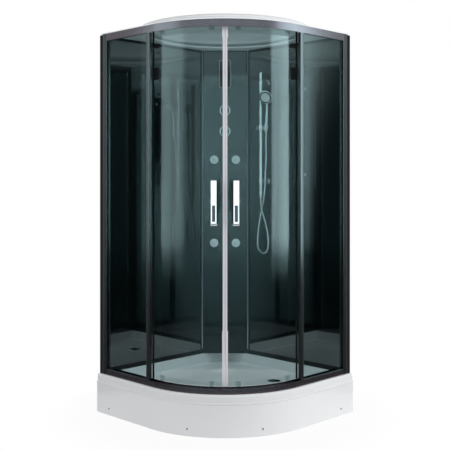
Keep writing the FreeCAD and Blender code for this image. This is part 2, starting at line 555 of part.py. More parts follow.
slider = rod(RAIL_R + 7, (RAIL_X, RAIL_Y, SLIDER_Z - 17), (RAIL_X, RAIL_Y, SLIDER_Z + 17))
slider = slider.makeFillet(3, [e for e in slider.Edges if e.Curve.TypeId == "Part::GeomCircle"])
slider = slider.fuse(rod(10, (RAIL_X, RAIL_Y, SLIDER_Z), (HOLDER_X - 18.8, RAIL_Y, SLIDER_Z)))
slider = slider.fuse(rod(5, (HOLDER_X - 19, RAIL_Y, SLIDER_Z), (HOLDER_X - 12, RAIL_Y, SLIDER_Z)))
slider = slider.fuse(rod(5, (RAIL_X - 34, RAIL_Y, SLIDER_Z), (RAIL_X, RAIL_Y, SLIDER_Z)))
slider = slider.cut(rod(RAIL_R + 0.06, (RAIL_X, RAIL_Y, SLIDER_Z - 30), (RAIL_X, RAIL_Y, SLIDER_Z + 30)))
save("slider", slider.removeSplitter())

grip = turned([(5.05, 0), (11, 0), (13.5, 2), (13.5, 13), (11, 16), (0, 16.6), (0, 15), (5.05, 15)])
grip = grip.fuse(box(-3, 3, 12, 16, 2, 14))
grip.rotate(V(0, 0, 0), V(0, 1, 0), -90)
grip.translate(V(RAIL_X - RAIL_R - 7.3, RAIL_Y, SLIDER_Z))
save("slider_knob", grip.removeSplitter())

# The handset leans 4 degrees to the right and out from the wall; this frame has its z along the handle.
UP = V(0.07, -0.03, 1.0).normalize()
OUT = V(0.38, -0.925, 0.0)
OUT = (OUT - UP * OUT.dot(UP)).normalize()
SIDE = UP.cross(OUT)
PIVOT = V(HOLDER_X, RAIL_Y, SLIDER_Z)
POSE = FreeCAD.Placement(PIVOT, FreeCAD.Rotation(SIDE, OUT, UP, "ZYX"))
print("handle axis", tuple(round(c, 5) for c in UP), "spray side", tuple(round(c, 5) for c in OUT))


def held(shape):
    shape = shape.copy()
    shape.Placement = POSE.multiply(shape.Placement)
    return shape


CONE = [(10.2, -20), (12.6, 16)]
bore = [(r + 0.05, z) for r, z in reversed(CONE)]
cup = turned([(14.5, -20), (16.8, -16), (17.2, 14), (16.2, 16)] + bore)
mouth = box(-8.5, 8.5, 2, 30, -30, 30)
cup = held(cup.cut(mouth))
cup = cup.cut(rod(5.06, (HOLDER_X - 30, RAIL_Y, SLIDER_Z), (HOLDER_X - 11.5, RAIL_Y, SLIDER_Z)))
save("handset_holder", cup)

HEAD_TILT = 25.0
HEAD_AT = V(0, 26, 178)  # in front of the handle, so that the neck comes in behind the spray face
NECK = (V(0, 0, 110), V(0, 8, 176))
head = turned([(0, -24), (14, -22), (31, -12), (41, -3), (43, 2), (42, 6), (39, 8), (0, 8)])
head.rotate(V(0, 0, 0), V(1, 0, 0), -90 - HEAD_TILT)
head.translate(HEAD_AT)
grip_end = [(13.2, 20), (12.6, 24), (10.4, 40), (8.0, 112), (0, 116)]
handle = turned([(0, -34), (8.2, -34)] + CONE + grip_end)
neck = Part.makeCone(8.0, 17.0, (NECK[1] - NECK[0]).Length, NECK[0], NECK[1] - NECK[0])
bearing = rod(4.05, (0, 0, -5), (0, 0, 9))
bearing.rotate(V(0, 0, 0), V(1, 0, 0), -90 - HEAD_TILT)
bearing.translate(HEAD_AT)
save("handset", held(fuse([handle, neck, head]).cut(bearing)))

face = turned([(0, -4), (4, -4), (4, 8.1), (33, 8.1), (33, 9.6), (31, 11), (0, 11.6)])
knobs = []
for radius, count in ((9, 6), (18, 12), (27, 18)):
    for k in range(count):
        a = 2 * math.pi * k / count
        x, y = radius * math.cos(a), radius * math.sin(a)
        knobs.append(rod(1.5, (x, y, 10), (x, y, 13)))
face = face.fuse(knobs)
face.rotate(V(0, 0, 0), V(1, 0, 0), -90 - HEAD_TILT)
face.translate(HEAD_AT)
save("handset_face", held(face))
tilt = math.radians(HEAD_TILT)
normal = POSE.Rotation.multVec(V(0, math.cos(tilt), -math.sin(tilt)))
print("face centre", tuple(round(c, 3) for c in POSE.multVec(HEAD_AT)))
print("face normal", tuple(round(c, 5) for c in normal))

# ---------------------------------------------------------------- hose: straight runs and tangent arcs
HOSE_TOP = POSE.multVec(V(0, 0, -34))
HOSE = [
    tuple(HOSE_TOP),
    tuple(HOSE_TOP - UP * 60),
    (-79.0, 427.5, 1400.0),
    (-90.0, 430.0, 1320.0),
    (-97.0, 436.0, 1235.0),
    (-118.0, 443.5, 1150.0),
    (-143.0, 439.0, 1045.0),
    (-153.0, 432.0, 945.0),
    (-151.0, 428.0, 870.3),
    (-123.2, 425.0, 842.5),
    (-83.8, 421.5, 842.5),
    (-56.0, 418.5, 870.3),
    (-54.5, 416.5, 943.0),
    (-78.0, 416.5, 1030.0),
    (RAIL_X, RAIL_Y, 1110.0),
    (RAIL_X, RAIL_Y, OUTLET_Z),
]
print("hose top", [tuple(round(c, 2) for c in p) for p in HOSE[:2]])


def cord(points, radius):
    """Tube along points, every corner rounded by an arc that takes 0.45 of the shorter run."""
    pts = [V(*p) for p in points]
    edges, here, radii = [], pts[0], []
    for a, b, c in zip(pts, pts[1:], pts[2:]):
        d0, d1 = (b - a).normalize(), (c - b).normalize()
        half_turn = 0.5 * d0.getAngle(d1)
        cut = 0.45 * min((b - a).Length, (c - b).Length)
        bend = cut / math.tan(half_turn)
        radii.append(round(bend))
        start, stop = b - d0 * cut, b + d1 * cut
        middle = b + (d1 - d0).normalize() * bend * (1 / math.cos(half_turn) - 1)
        edges += [Part.makeLine(here, start), Part.Arc(start, middle, stop).toShape()]
        here = stop
    edges.append(Part.makeLine(here, pts[-1]))
    path = Part.Wire(edges)
    ring = Part.Wire([Part.makeCircle(radius, pts[0], pts[1] - pts[0])])
    solid = path.makePipeShell([ring], True, False, 0)
    filled = solid.Volume / (math.pi * radius**2 * path.Length)
    print("bend radii", radii, "length", round(path.Length, 1), "volume ratio", round(filled, 4))
    return solid


save("hose", cord(HOSE, HOSE_R))

# ---------------------------------------------------------------- wall mirror
MIRROR = dict(x=(102.0, 252.0), z=(1235.0, 1845.0), caps=(1307.0, 1801.0))
mirror = box(*MIRROR["x"], WALL_GLASS[0] - 4, WALL_GLASS[0], *MIRROR["z"])
mirror = mirror.makeFillet(3, [e for e in mirror.Edges if abs(e.Length - 4) < 0.01])
caps = []
for z in MIRROR["caps"]:
    x = 0.5 * sum(MIRROR["x"])
    caps.append(rod(8, (x, WALL_GLASS[0] - 4, z), (x, WALL_GLASS[0] - 10, z)))
save("wall_mirror", mirror)
save("mirror_caps", Part.makeCompound(caps))
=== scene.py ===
import math

import bmesh
import bpy
import numpy as np
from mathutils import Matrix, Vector


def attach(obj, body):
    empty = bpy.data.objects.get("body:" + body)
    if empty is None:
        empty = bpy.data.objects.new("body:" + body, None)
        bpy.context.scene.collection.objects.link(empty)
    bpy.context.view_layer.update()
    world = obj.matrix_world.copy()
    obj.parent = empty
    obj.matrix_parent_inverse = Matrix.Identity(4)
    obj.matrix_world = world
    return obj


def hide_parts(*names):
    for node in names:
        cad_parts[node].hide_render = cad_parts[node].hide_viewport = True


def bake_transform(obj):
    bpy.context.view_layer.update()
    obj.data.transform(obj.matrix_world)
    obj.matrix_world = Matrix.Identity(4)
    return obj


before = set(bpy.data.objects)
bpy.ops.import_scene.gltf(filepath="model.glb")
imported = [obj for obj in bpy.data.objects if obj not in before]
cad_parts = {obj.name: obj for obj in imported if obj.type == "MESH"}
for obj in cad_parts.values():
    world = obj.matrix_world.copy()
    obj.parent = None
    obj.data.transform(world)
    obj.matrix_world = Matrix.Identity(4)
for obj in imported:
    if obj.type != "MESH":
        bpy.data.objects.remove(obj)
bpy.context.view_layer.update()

# Shapes are drawn in millimetres: the origin is on the floor at the middle of the footprint, z points
# up, the room corner is at (-HALF, HALF) and the curved front faces +x and -y.
MM = 0.001
HALF = 500.0
CENTRE = 50.0  # the front arc turns about (-CENTRE, CENTRE)
TRAY_R = HALF + CENTRE
RIM_Z = 210.0
RAIL_TOP = 2080.0
DIAGONAL = math.sqrt(0.5)

# ---------------------------------------------------------------- surfaces


def grid(points, wrap_rows=False, wrap_columns=False):
    """Quads over an array of points (rows, columns, 3). A wrapped direction joins its last line to its
    first."""
    rows, columns = points.shape[:2]
    index = np.arange(rows * columns).reshape(rows, columns)
    if wrap_rows:
        index = np.vstack([index, index[:1]])
    if wrap_columns:
        index = np.hstack([index, index[:, :1]])
    quads = np.stack([index[:-1, :-1], index[:-1, 1:], index[1:, 1:], index[1:, :-1]], axis=-1)
    return points.reshape(-1, 3), [quads.reshape(-1, 4)]


def capped(points):
    """Tube over loops of points (loops, points in a loop, 3), with a flat face on its first and last loop."""
    loops, count = points.shape[:2]
    vertices, faces = grid(points, wrap_columns=True)
    first = np.arange(count)[None]
    return vertices, faces + [first, first + (loops - 1) * count]


def between(front, back):
    """Closed solid between two grids of one size: both grids and a strip of quads round their edges."""
    rows, columns = front.shape[:2]
    index = np.arange(rows * columns).reshape(rows, columns)
    rim = np.concatenate([index[0, :-1], index[:-1, -1], index[-1, :0:-1], index[:0:-1, 0]])
    after = np.roll(rim, -1)
    strip = np.stack([rim, after, after + rows * columns, rim + rows * columns], axis=-1)
    near, near_faces = grid(front)
    far, far_faces = grid(back)
    return np.vstack([near, far]), near_faces + [far_faces[0] + rows * columns, strip]


def together(shells):
    """One list of vertices and faces from several closed shells."""
    vertices, faces, start = [], [], 0
    for points, blocks in shells:
        vertices.append(points)
        faces += [block + start for block in blocks]
        start += len(points)
    return np.vstack(vertices), faces


def repeated(shell, offsets):
    """The same shell at every offset: its vertices plus each offset."""
    return [(shell[0] + np.array(offset, float), shell[1]) for offset in offsets]


def mirrored(shell):
    """The same thing on the other side of the cabin's diagonal: (x, y) becomes (-y, -x)."""
    return shell[0][:, [1, 0, 2]] * np.array([-1.0, -1.0, 1.0]), shell[1]


def moved(shell, origin, x_axis, y_axis, z_axis):
    """A shell drawn in its own frame, set at origin: x, y and z times the three axes."""
    axes = np.array([x_axis, y_axis, z_axis], float)
    return shell[0] @ axes + np.array(origin, float), shell[1]


# A shell drawn on z points one of these ways: where its x, y and z axes go.
WAYS = {
    "up": ((1, 0, 0), (0, 1, 0), (0, 0, 1)),
    "+x": ((0, 1, 0), (0, 0, 1), (1, 0, 0)),
    "-x": ((0, 1, 0), (0, 0, 1), (-1, 0, 0)),
    "+y": ((1, 0, 0), (0, 0, 1), (0, 1, 0)),
    "-y": ((1, 0, 0), (0, 0, 1), (0, -1, 0)),
}


def pointing(shell, way, origin):
    return moved(shell, origin, *WAYS[way])


def rounded(outline, cut, closed=True, steps=4):
    """Outline whose corners are parabolas: each starts a cut's length before the corner, has the corner
    as its control point and ends as far behind it. A cut is at most 0.45 of the shorter side."""
    corners = np.array(outline, float)
    before = np.roll(corners, 1, axis=0) - corners
    after = np.roll(corners, -1, axis=0) - corners
    before_size = np.linalg.norm(before, axis=1)
    after_size = np.linalg.norm(after, axis=1)
    cuts = np.minimum(cut, 0.45 * np.minimum(before_size, after_size))
    if not closed:
        cuts[[0, -1]] = 0.0
    start = corners + before * (cuts / before_size)[:, None]
    stop = corners + after * (cuts / after_size)[:, None]
    t = np.linspace(0, 1, steps + 1)[None, :, None]
    curve = (1 - t) ** 2 * start[:, None] + 2 * t * (1 - t) * corners[:, None] + t**2 * stop[:, None]
    return curve.reshape(-1, corners.shape[1])


def lathe(profile, steps, ring=False):
    """Surface of revolution about z: (r cos a, r sin a, h) for the profile's points (r, h). The profile
    has both ends on the axis, or is a closed ring round it."""
    r, h = np.array(profile, float).T
    a = np.linspace(0, 2 * math.pi, steps, endpoint=False)
    points = np.stack([np.outer(r, np.cos(a)), np.outer(r, np.sin(a)), np.outer(h, np.ones(steps))], axis=-1)
    return grid(points, wrap_rows=ring, wrap_columns=True)


def rod(radius, length, edge=0.6, steps=24):
    """Cylinder on z from 0 to length with softened rims."""
    return lathe(rounded([(0, 0), (radius, 0), (radius, length), (0, length)], edge, closed=False), steps)


def prism(outline, low, high):
    """Upright prism on a closed outline in x and y."""
    flat = np.array(outline, float)
    loops = [np.column_stack([flat, np.full(len(flat), z)]) for z in (low, high)]
    return capped(np.array(loops))


def slab(x, y, z):
    """Box from three pairs of limits."""
    return prism([(x[0], y[0]), (x[1], y[0]), (x[1], y[1]), (x[0], y[1])], *z)


def front_path(end, steps=97):
    """Centres and outward directions along the cabin's front: straight side, quarter circle, straight
    side."""
    a = np.radians(np.linspace(0, -90, steps))
    outs = np.column_stack([np.cos(a), np.sin(a)])
    centres = np.tile([-CENTRE, CENTRE], (steps, 1))
    outs = np.vstack([[1, 0], outs, [0, -1]])
    centres = np.vstack([[-CENTRE, end], centres, [-end, CENTRE]])
    return centres, outs


def door_path(start, stop, tail, steps=49):
    """Centres and outward directions along the right door: an arc, then a flat tail beyond its end."""
    a = np.radians(np.linspace(start, stop, steps))
    outs = np.column_stack([np.cos(a), np.sin(a)])
    centres = np.tile([-CENTRE, CENTRE], (steps, 1))
    return np.vstack([centres, centres[-1:] + [0, tail]]), np.vstack([outs, outs[-1:]])


def carried(profile, path):
    """Closed profile of (radius, height) points carried along a path: centre + radius x outward direction."""
    centres, outs = path
    r, h = np.array(profile, float).T
    plan = centres[:, None] + r[None, :, None] * outs[:, None]
    heights = np.broadcast_to(h[None, :, None], plan.shape[:2] + (1,))
    return capped(np.concatenate([plan, heights], axis=-1))


def on_arc(shell, angle):
    """A shell drawn with x along the front, y as distance from the arc's centre and z up, at an angle."""
    a = math.radians(angle)
    out = (math.cos(a), math.sin(a), 0)
    return moved(shell, (-CENTRE, CENTRE, 0), (math.sin(a), -math.cos(a), 0), out, (0, 0, 1))


PANEL_W = 379.0


def on_panel(shell, u, z):
    """A shell drawn on z, set on the corner panel's face so that z points out of it; u is along the face."""
    origin = (-PANEL_W + u * DIAGONAL, PANEL_W + u * DIAGONAL, z)
    return moved(shell, origin, (DIAGONAL, DIAGONAL, 0), (0, 0, 1), (DIAGONAL, -DIAGONAL, 0))


def piece(name, shells, material, body, stands_for=(), smooth=35.0, bevel=0.0):
    """Mesh object from closed shells. Seams and poles are merged and faces turned outwards before any bevel.
    With no body it is left free."""
    vertices, faces = together(shells)
    mesh = bpy.data.meshes.new(name)
    mesh.from_pydata((vertices * MM).tolist(), [], [face for block in faces for face in block.tolist()])
    finish_mesh(mesh, smooth)
    made = placed(name, mesh, material, body, stands_for)
    if bevel:
        edge = made.modifiers.new("softened edges", "BEVEL")
        edge.width = bevel * MM
        edge.segments = 2
        edge.limit_method = "ANGLE"
        edge.angle_limit = math.radians(40)
    return made


def placed(name, mesh, material, body, stands_for):
    """Object for a finished mesh, on its body and the CAD nodes that it stands for."""
    mesh.materials.append(material)
    made = bpy.data.objects.new(name, mesh)
    bpy.context.scene.collection.objects.link(made)
    if body:
        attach(made, body)
    if stands_for:
        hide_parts(*stands_for)
    return made


def finish_mesh(mesh, smooth, turn=True):
    """Merge what touches, turn the faces outwards and shade smooth below an angle in degrees."""
    work = bmesh.new()
    work.from_mesh(mesh)
    bmesh.ops.remove_doubles(work, verts=work.verts, dist=1e-6)
    if turn:
        bmesh.ops.recalc_face_normals(work, faces=work.faces)
    work.to_mesh(mesh)
    work.free()
    mesh.shade_smooth()
    mesh.set_sharp_from_angle(angle=math.radians(smooth))


def smoothed(node, material, body):
    """Merged and smooth-shaded copy of a CAD node, in its place, with its faces turned as the CAD has them."""
    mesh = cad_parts[node].data.copy()
    mesh.materials.clear()
    finish_mesh(mesh, 30, turn=False)
    placed(node + "_finished", mesh, material, body, [node])


def repaint(node, material):
    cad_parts[node].material_slots[0].material = material


# ---------------------------------------------------------------- materials


def colour(code):
    """Linear RGBA of an sRGB hex code."""
    srgb = np.array([int(code[i:i + 2], 16) for i in (1, 3, 5)]) / 255
    linear = np.where(srgb <= 0.04045, srgb / 12.92, ((srgb + 0.055) / 1.055) ** 2.4)
    return (*linear.tolist(), 1.0)


def add(tree, kind, inputs=None, **settings):
    """Add a node with its settings. inputs gives a socket, by name or number, another node's output or
    the value that it holds."""
    made = tree.nodes.new(kind)
    for name, value in settings.items():
        setattr(made, name, value)
    for socket, value in (inputs or {}).items():
        if isinstance(value, bpy.types.NodeSocket):
            tree.links.new(value, made.inputs[socket])
        else:
            made.inputs[socket].default_value = value
    return made


def new_tree(name):
    """Empty material with its output node."""
    material = bpy.data.materials.new(name)
    material.use_nodes = True
    tree = material.node_tree
    tree.nodes.clear()
    return material, tree, tree.nodes.new("ShaderNodeOutputMaterial")


def finish(name, light, dark, grain, roughness, relief=0.0, stretch=(1, 1, 1), **sockets):
    """Opaque finish. Noise with a grain in millimetres moves its colour between two tones and its
    roughness between two values, and raises a relief in millimetres. sockets go on the shader itself."""
    material, tree, output = new_tree(name)
    place = add(tree, "ShaderNodeTexCoord")
    sized = add(tree, "ShaderNodeMapping", {"Vector": place.outputs["Object"], "Scale": stretch})
    noise = add(tree, "ShaderNodeTexNoise", {"Vector": sized.outputs["Vector"], "Scale": 1 / (grain * MM),
                                             "Detail": 3.0, "Roughness": 0.55})
    tone = add(tree, "ShaderNodeMix", {"Factor": noise.outputs["Fac"], 6: colour(dark), 7: colour(light)},
               data_type="RGBA")
    rough = add(tree, "ShaderNodeMapRange", {"Value": noise.outputs["Fac"], "To Min": roughness[0],
                                             "To Max": roughness[1]})
    shader = add(tree, "ShaderNodeBsdfPrincipled", {"Base Color": tone.outputs[2],
                                                    "Roughness": rough.outputs["Result"]})
    for socket, value in sockets.items():
        shader.inputs[socket.replace("_", " ")].default_value = value
    if relief:
        bump = add(tree, "ShaderNodeBump", {"Height": noise.outputs["Fac"], "Distance": relief * MM,
                                            "Strength": 1.0})
        tree.links.new(bump.outputs["Normal"], shader.inputs["Normal"])
    tree.links.new(shader.outputs["BSDF"], output.inputs["Surface"])
    return material


def thin_glass(name, tint, mirror):
    """Tinted pane with a front and a back face. Each face lets through the square root of the tint and
    reflects mirror + (1 - mirror) x (1 - cos)^5, Schlick's rule for the share that glass reflects."""
    material, tree, output = new_tree(name)
    facing = add(tree, "ShaderNodeLayerWeight", {"Blend": 0.5})
    steep = add(tree, "ShaderNodeMath", {0: facing.outputs["Facing"], 1: 5.0}, operation="POWER")
    share = add(tree, "ShaderNodeMapRange", {"Value": steep.outputs["Value"], "To Min": mirror,
                                             "To Max": 1.0})
    one_face = [math.sqrt(c) for c in colour(tint)]
    through = add(tree, "ShaderNodeBsdfTransparent", {"Color": one_face})
    gloss = add(tree, "ShaderNodeBsdfAnisotropic", {"Color": (1, 1, 1, 1), "Roughness": 0.0})
    mixed = add(tree, "ShaderNodeMixShader", {0: share.outputs["Result"], 1: through.outputs["BSDF"],
                                              2: gloss.outputs["BSDF"]})
    tree.links.new(mixed.outputs["Shader"], output.inputs["Surface"])
    return material


# Vacuum-formed sanitary acrylic: high gloss with a faint orange peel about 8 mm across.
ACRYLIC = finish("sanitary acrylic", "#f3f4f5", "#eff0f2", 8.0, (0.12, 0.18), 0.02, IOR=1.49)
# Aluminium extrusion, anodised graphite: satin, with die lines along its length too fine to see,
# drawn 2 mm apart and long in z on the posts.
ANODISED = finish("graphite anodised aluminium", "#575b5c", "#4d5052", 2.0, (0.24, 0.32), 0.01,
                  stretch=(1, 1, 0.02), Metallic=1.0)
# The same anodised aluminium for the rails, in lighter and more purple tones than the posts' copy: the lighter
# tone is painted light, the top rail's brighter look under light from above.
ANODISED_RAIL_PAINTED_LIGHTER = finish("graphite anodised rail painted lighter", "#706a70", "#635e63", 2.0, (0.24, 0.32), 0.01,
                       stretch=(0.05, 0.05, 1), Metallic=1.0)
# Aluminium strip, bright anodised: pale silver with soft reflections.
BRIGHT = finish("bright anodised strip", "#d9d2d9", "#c9c3ca", 3.0, (0.22, 0.3), 0.01, (1, 1, 0.02),
                Metallic=0.6)
# Toughened glass toned in the mass: grey green, both faces polished.
GLASS = thin_glass("toned safety glass", "#d0dfe0", 0.045)
# Clear polycarbonate of the hangers' and guides' clamp plates: faint, with bright edges.
CLEAR = thin_glass("clear polycarbonate", "#dfe8e9", 0.06)
# Back-painted toughened glass: black behind a polished face. Its IOR is above real glass, so that its
# one shaded face reflects as much as a polished pane with paint close behind it.
BLACK_GLASS = finish("back-painted black glass", "#07100f", "#050c0d", 60.0, (0.02, 0.04), IOR=2.7)
# Paint on the back of the black panes: rolled on, dull.
GLASS_PAINT = finish("black glass paint", "#111213", "#0c0d0e", 5.0, (0.55, 0.75), 0.04)
# Extruded frame round the black panes, powder coated black: fine orange peel.
BLACK_FRAME = finish("black powder coat", "#17191c", "#121417", 1.5, (0.35, 0.45), 0.03)
# Corner column of co-extruded ABS and acrylic, black and polished.
COLUMN = finish("dark acrylic column", "#0e191c", "#0b1518", 40.0, (0.04, 0.07), IOR=1.49)
# Electroplated chrome on brass or plastic: mirror bright with a trace of haze.
CHROME = finish("chrome plate", "#dfe3e5", "#d3d8da", 20.0, (0.04, 0.09), Metallic=1.0)
# Brushed chrome inset: fine lines 0.8 mm apart along the handle.
BRUSHED = finish("brushed chrome inset", "#a9abab", "#8b8d8e", 0.8, (0.28, 0.42), 0.02, (1, 1, 0.03),
                 Metallic=0.9)
# Injection-moulded ABS of the jets and the spray face: satin grey, with a fine moulded texture.
JET_GREY = finish("grey moulded plastic", "#d3d9da", "#c6cdcf", 1.2, (0.22, 0.32), 0.02)
# Extruded and moulded EPDM rubber: black and dull.
RUBBER = finish("black rubber", "#0c0d0e", "#08090a", 0.8, (0.55, 0.75), 0.04)
# Extruded soft PVC of the door's magnetic strip and seals: milky, matt, with light in it.
SEAL = finish("milky soft PVC", "#efedf2", "#e6e4ea", 2.0, (0.35, 0.5), 0.02, (1, 1, 0.02))
# Extruded PVC gasket between glass and frame: grey where it is seen edge on, dull.
GASKET = finish("dull clear gasket", "#5a6468", "#4a5458", 2.0, (0.4, 0.55), 0.02)
# Zinc-plated steel: pale, faintly yellow and blue crystals.
ZINC = finish("zinc-plated steel", "#b9bcbc", "#9ea3a6", 6.0, (0.35, 0.5), 0.03, Metallic=0.9)
# Electro-dipped steel frame of the tray: black, with a faint orange peel over the welds.
BLACK_STEEL = finish("black painted steel", "#232427", "#1a1b1d", 3.0, (0.4, 0.55), 0.05)
# Moulded polypropylene of the trap and its pipe: white and waxy.
TRAP = finish("white polypropylene", "#e2e3e1", "#d5d7d6", 2.0, (0.4, 0.5), 0.02)
# Cast brass of the valve and pipes: yellow, rough from the sand mould.
BRASS = finish("cast brass", "#b99a5b", "#a3854b", 3.0, (0.3, 0.45), 0.05, Metallic=1.0)
# Moulded nylon of the door wheels: off white and smooth.
NYLON = finish("white nylon", "#e6e5e0", "#dbdad4", 1.0, (0.35, 0.45), 0.01)
# Mirror glass against a black wall: a dark body, with its IOR raised like the black glass's.
MIRROR = finish("silvered mirror", "#3a474c", "#36434a", 50.0, (0.02, 0.03), IOR=2.6)
# Smoked acrylic of the lamp cover and the knobs' middles: near black, with its IOR raised in the same way.
SMOKED = finish("smoked acrylic", "#0b1418", "#091014", 30.0, (0.05, 0.08), IOR=2.5)
# Interlocked stainless-steel hose band, polished.
HOSE = finish("polished steel hose", "#e3e7e9", "#cfd4d7", 3.0, (0.16, 0.24), Metallic=1.0)
# Steel screw heads, dark in their recess.
SCREW = finish("dark steel screw", "#4a4a4c", "#38383a", 1.0, (0.35, 0.5), 0.02, Metallic=0.8)

# ---------------------------------------------------------------- camera
EYE = (3.2484, -3.2484, 1.276)
camera_data = bpy.data.cameras.new("camera")
camera_data.sensor_width = 36.0
camera_data.lens = 66.63
camera_data.shift_y = -0.0996
camera = bpy.data.objects.new("camera", camera_data)
camera.location = EYE
camera.rotation_euler = (math.radians(90), 0, math.radians(45))
bpy.context.scene.collection.objects.link(camera)
bpy.context.scene.camera = camera

# ---------------------------------------------------------------- hose
HOSE_R = 6.5
HOSE_ROUTE = [
    (-74.37, 420.02, 1555.1),
    (-78.56, 421.81, 1495.27),
    (-79.0, 427.5, 1400.0),
    (-90.0, 430.0, 1320.0),
    (-97.0, 436.0, 1235.0),
    (-118.0, 443.5, 1150.0),
    (-143.0, 439.0, 1045.0),
    (-153.0, 432.0, 945.0),
    (-151.0, 428.0, 870.3),
    (-123.2, 425.0, 842.5),
    (-83.8, 421.5, 842.5),
    (-56.0, 418.5, 870.3),
    (-54.5, 416.5, 943.0),
    (-78.0, 416.5, 1030.0),
    (-117.0, 419.0, 1110.0),
    (-117.0, 419.0, 1172.0),
]


def spline_points(route):
    """Points along the NURBS spline that has the route's points as its control points, in millimetres."""
    data = bpy.data.curves.new("hose_line", "CURVE")
    data.dimensions = "3D"
    data.resolution_u = 24
    spline = data.splines.new("NURBS")
    spline.points.add(len(route) - 1)
    spline.points.foreach_set("co", [c for x, y, z in route for c in (x * MM, y * MM, z * MM, 1.0)])
    spline.order_u = 3
    spline.use_endpoint_u = True
    line = bpy.data.objects.new("hose_line", data)
    mesh = bpy.data.meshes.new_from_object(line)
    points = np.zeros(len(mesh.vertices) * 3)
    mesh.vertices.foreach_get("co", points)
    bpy.data.objects.remove(line)
    bpy.data.curves.remove(data)
    bpy.data.meshes.remove(mesh)
    return points.reshape(-1, 3) / MM


def tube(points, radii, steps):
    """Round tube along points: each ring lies across the line's direction, and its first spoke is the
    last ring's spoke with its part along the line taken away, so the rings don't twist."""
    along = np.gradient(points, axis=0)
    along /= np.linalg.norm(along, axis=1)[:, None]
    spoke = np.cross(along[0], (0.3, 1.0, 0.2))
    spokes = []
    for direction in along:
        spoke = spoke - direction * spoke.dot(direction)
        spoke = spoke / np.linalg.norm(spoke)
        spokes.append(spoke)
    spokes = np.array(spokes)
    others = np.cross(along, spokes)
    a = np.linspace(0, 2 * math.pi, steps, endpoint=False)[None, :, None]
    rings = spokes[:, None] * np.cos(a) + others[:, None] * np.sin(a)
    return capped(points[:, None] + rings * np.array(radii)[:, None, None])


def hose():
    """Steel hose whose radius dips between turns of its band: R - depth x |sin|^4 of the way along, one
    turn each 4 mm. Returns its piece and the spline's points."""
    line = spline_points(HOSE_ROUTE)
    steps = np.linalg.norm(np.diff(line, axis=0), axis=1)
    way = np.concatenate([[0], np.cumsum(steps)])
    turn, rings_a_turn = 4.0, 6
    s = np.linspace(0, way[-1], int(way[-1] / turn * rings_a_turn))
    points = np.column_stack([np.interp(s, way, line[:, k]) for k in range(3)])
    radii = HOSE_R - 0.55 * np.abs(np.sin(math.pi * s / turn)) ** 4
    made = piece("hose_band", [tube(points, radii, 16)], HOSE, None, smooth=80)
    return made, line


hose_band, hose_line = hose()
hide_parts("hose")
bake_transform(hose_band)

# ---------------------------------------------------------------- tray and skirt
DRAIN = np.array([140.0, 250.0])
HOLE_R = 31.0
FLOOR_Z = 150.0
UNDERSIDE_Z = 142.0


def tray_loop(front, wall, z, corner=14.0):
    """Closed plan line of the cabin inset from its front and its walls, with its three corners rounded."""
    r = TRAY_R - front
    x, y = r - CENTRE, HALF - wall
    arc = np.radians(np.linspace(0, -90, 73))
    curve = np.column_stack([-CENTRE + r * np.cos(arc), CENTRE + r * np.sin(arc)])
    outline = np.vstack([[x, y], [x, CENTRE + 60], curve, [-CENTRE - 60, -x], [-y, -x], [-y, y]])
    turns = rounded(outline, corner, steps=6).reshape(len(outline), 7, 2)
    line = np.vstack([turns[0], outline[1:-2], turns[-2], turns[-1]])
    return np.column_stack([line, np.full(len(line), z)])


def tray():
    """Loops from the tray's underside out to its apron, over the rim, down into the basin and across the
    floor, where each point nears the drain along a straight line, then through the drain hole and back."""
    around = np.radians(np.linspace(0, 90, 7))
    loops = [tray_loop(74, 30, UNDERSIDE_Z), tray_loop(74, 30, 204), tray_loop(11, 6, 204),
             tray_loop(11, 6, 171), tray_loop(4.5, 0, 171, 4), tray_loop(4.5, 0, 201, 4)]
    turns = [(math.sin(a), math.cos(a)) for a in around]
    loops += [tray_loop(4.5 + 9 * (1 - c), 1.5 * (1 - c), 201 + 9 * s, 6) for s, c in turns]
    loops += [tray_loop(70, 28, RIM_Z, 20)]
    loops += [tray_loop(76 + 6 * s, 32 + 6 * s, 204 + 6 * c, 26) for s, c in turns]
    loops += [tray_loop(84 + 12 * (1 - c), 40 + 12 * (1 - c), 162 - 12 * s, 30) for s, c in turns]
    edge = loops[-1]
    out = edge[:, :2] - DRAIN
    reach = np.linalg.norm(out, axis=1)[:, None]
    for share in np.linspace(1, 0, 12)[1:]:
        plan = DRAIN + out / reach * (HOLE_R + (reach - HOLE_R) * share)
        loops.append(np.column_stack([plan, np.full(len(plan), FLOOR_Z)]))
    hole = loops[-1].copy()
    hole[:, 2] = UNDERSIDE_Z
    loops.append(hole)
    return grid(np.array(loops), wrap_rows=True, wrap_columns=True)


piece("acrylic_tray", [tray()], ACRYLIC, "cabin", ["tray"], smooth=40)

SKIRT = rounded([(528, 0), (547.5, 0), (547.5, 161), (550, 163), (550, 171), (542, 171), (542, 4),
                 (528, 4)], 2.0)
piece("acrylic_skirt", [carried(SKIRT, front_path(HALF))], ACRYLIC, "cabin", ["tray_skirt"])

SCREW_Z = 36.0
SCREW_ANGLES = (-45 - 20.2, -45 + 20.2)


def at_screws(shell):
    """Four copies of a shell drawn on z, pointing out of the skirt: two on the arc, one on each side."""
    front = pointing(shell, "+y", (0, TRAY_R - 2.5, SCREW_Z))
    side = pointing(shell, "+x", (HALF - 2.5, 392, SCREW_Z))
    return [on_arc(front, angle) for angle in SCREW_ANGLES] + [side, mirrored(side)]


washer = lathe(rounded([(2.3, 0), (7, 0), (7, 1.2), (2.3, 1.2)], 0.4), 32, ring=True)
piece("screw_washers", at_screws(washer), ACRYLIC, "cabin", ["skirt_caps"])
head = lathe([(0, 1.2), (4.2, 1.2), (4.1, 1.8), (3.4, 2.3), (2.2, 2.4), (1.6, 1.6), (0, 1.5)], 32)
shank = pointing(rod(2.0, 15), "up", (0, 0, -13.8))
piece("skirt_screw_heads", at_screws(head) + at_screws(shank), SCREW, "cabin",
      ["skirt_screws"])

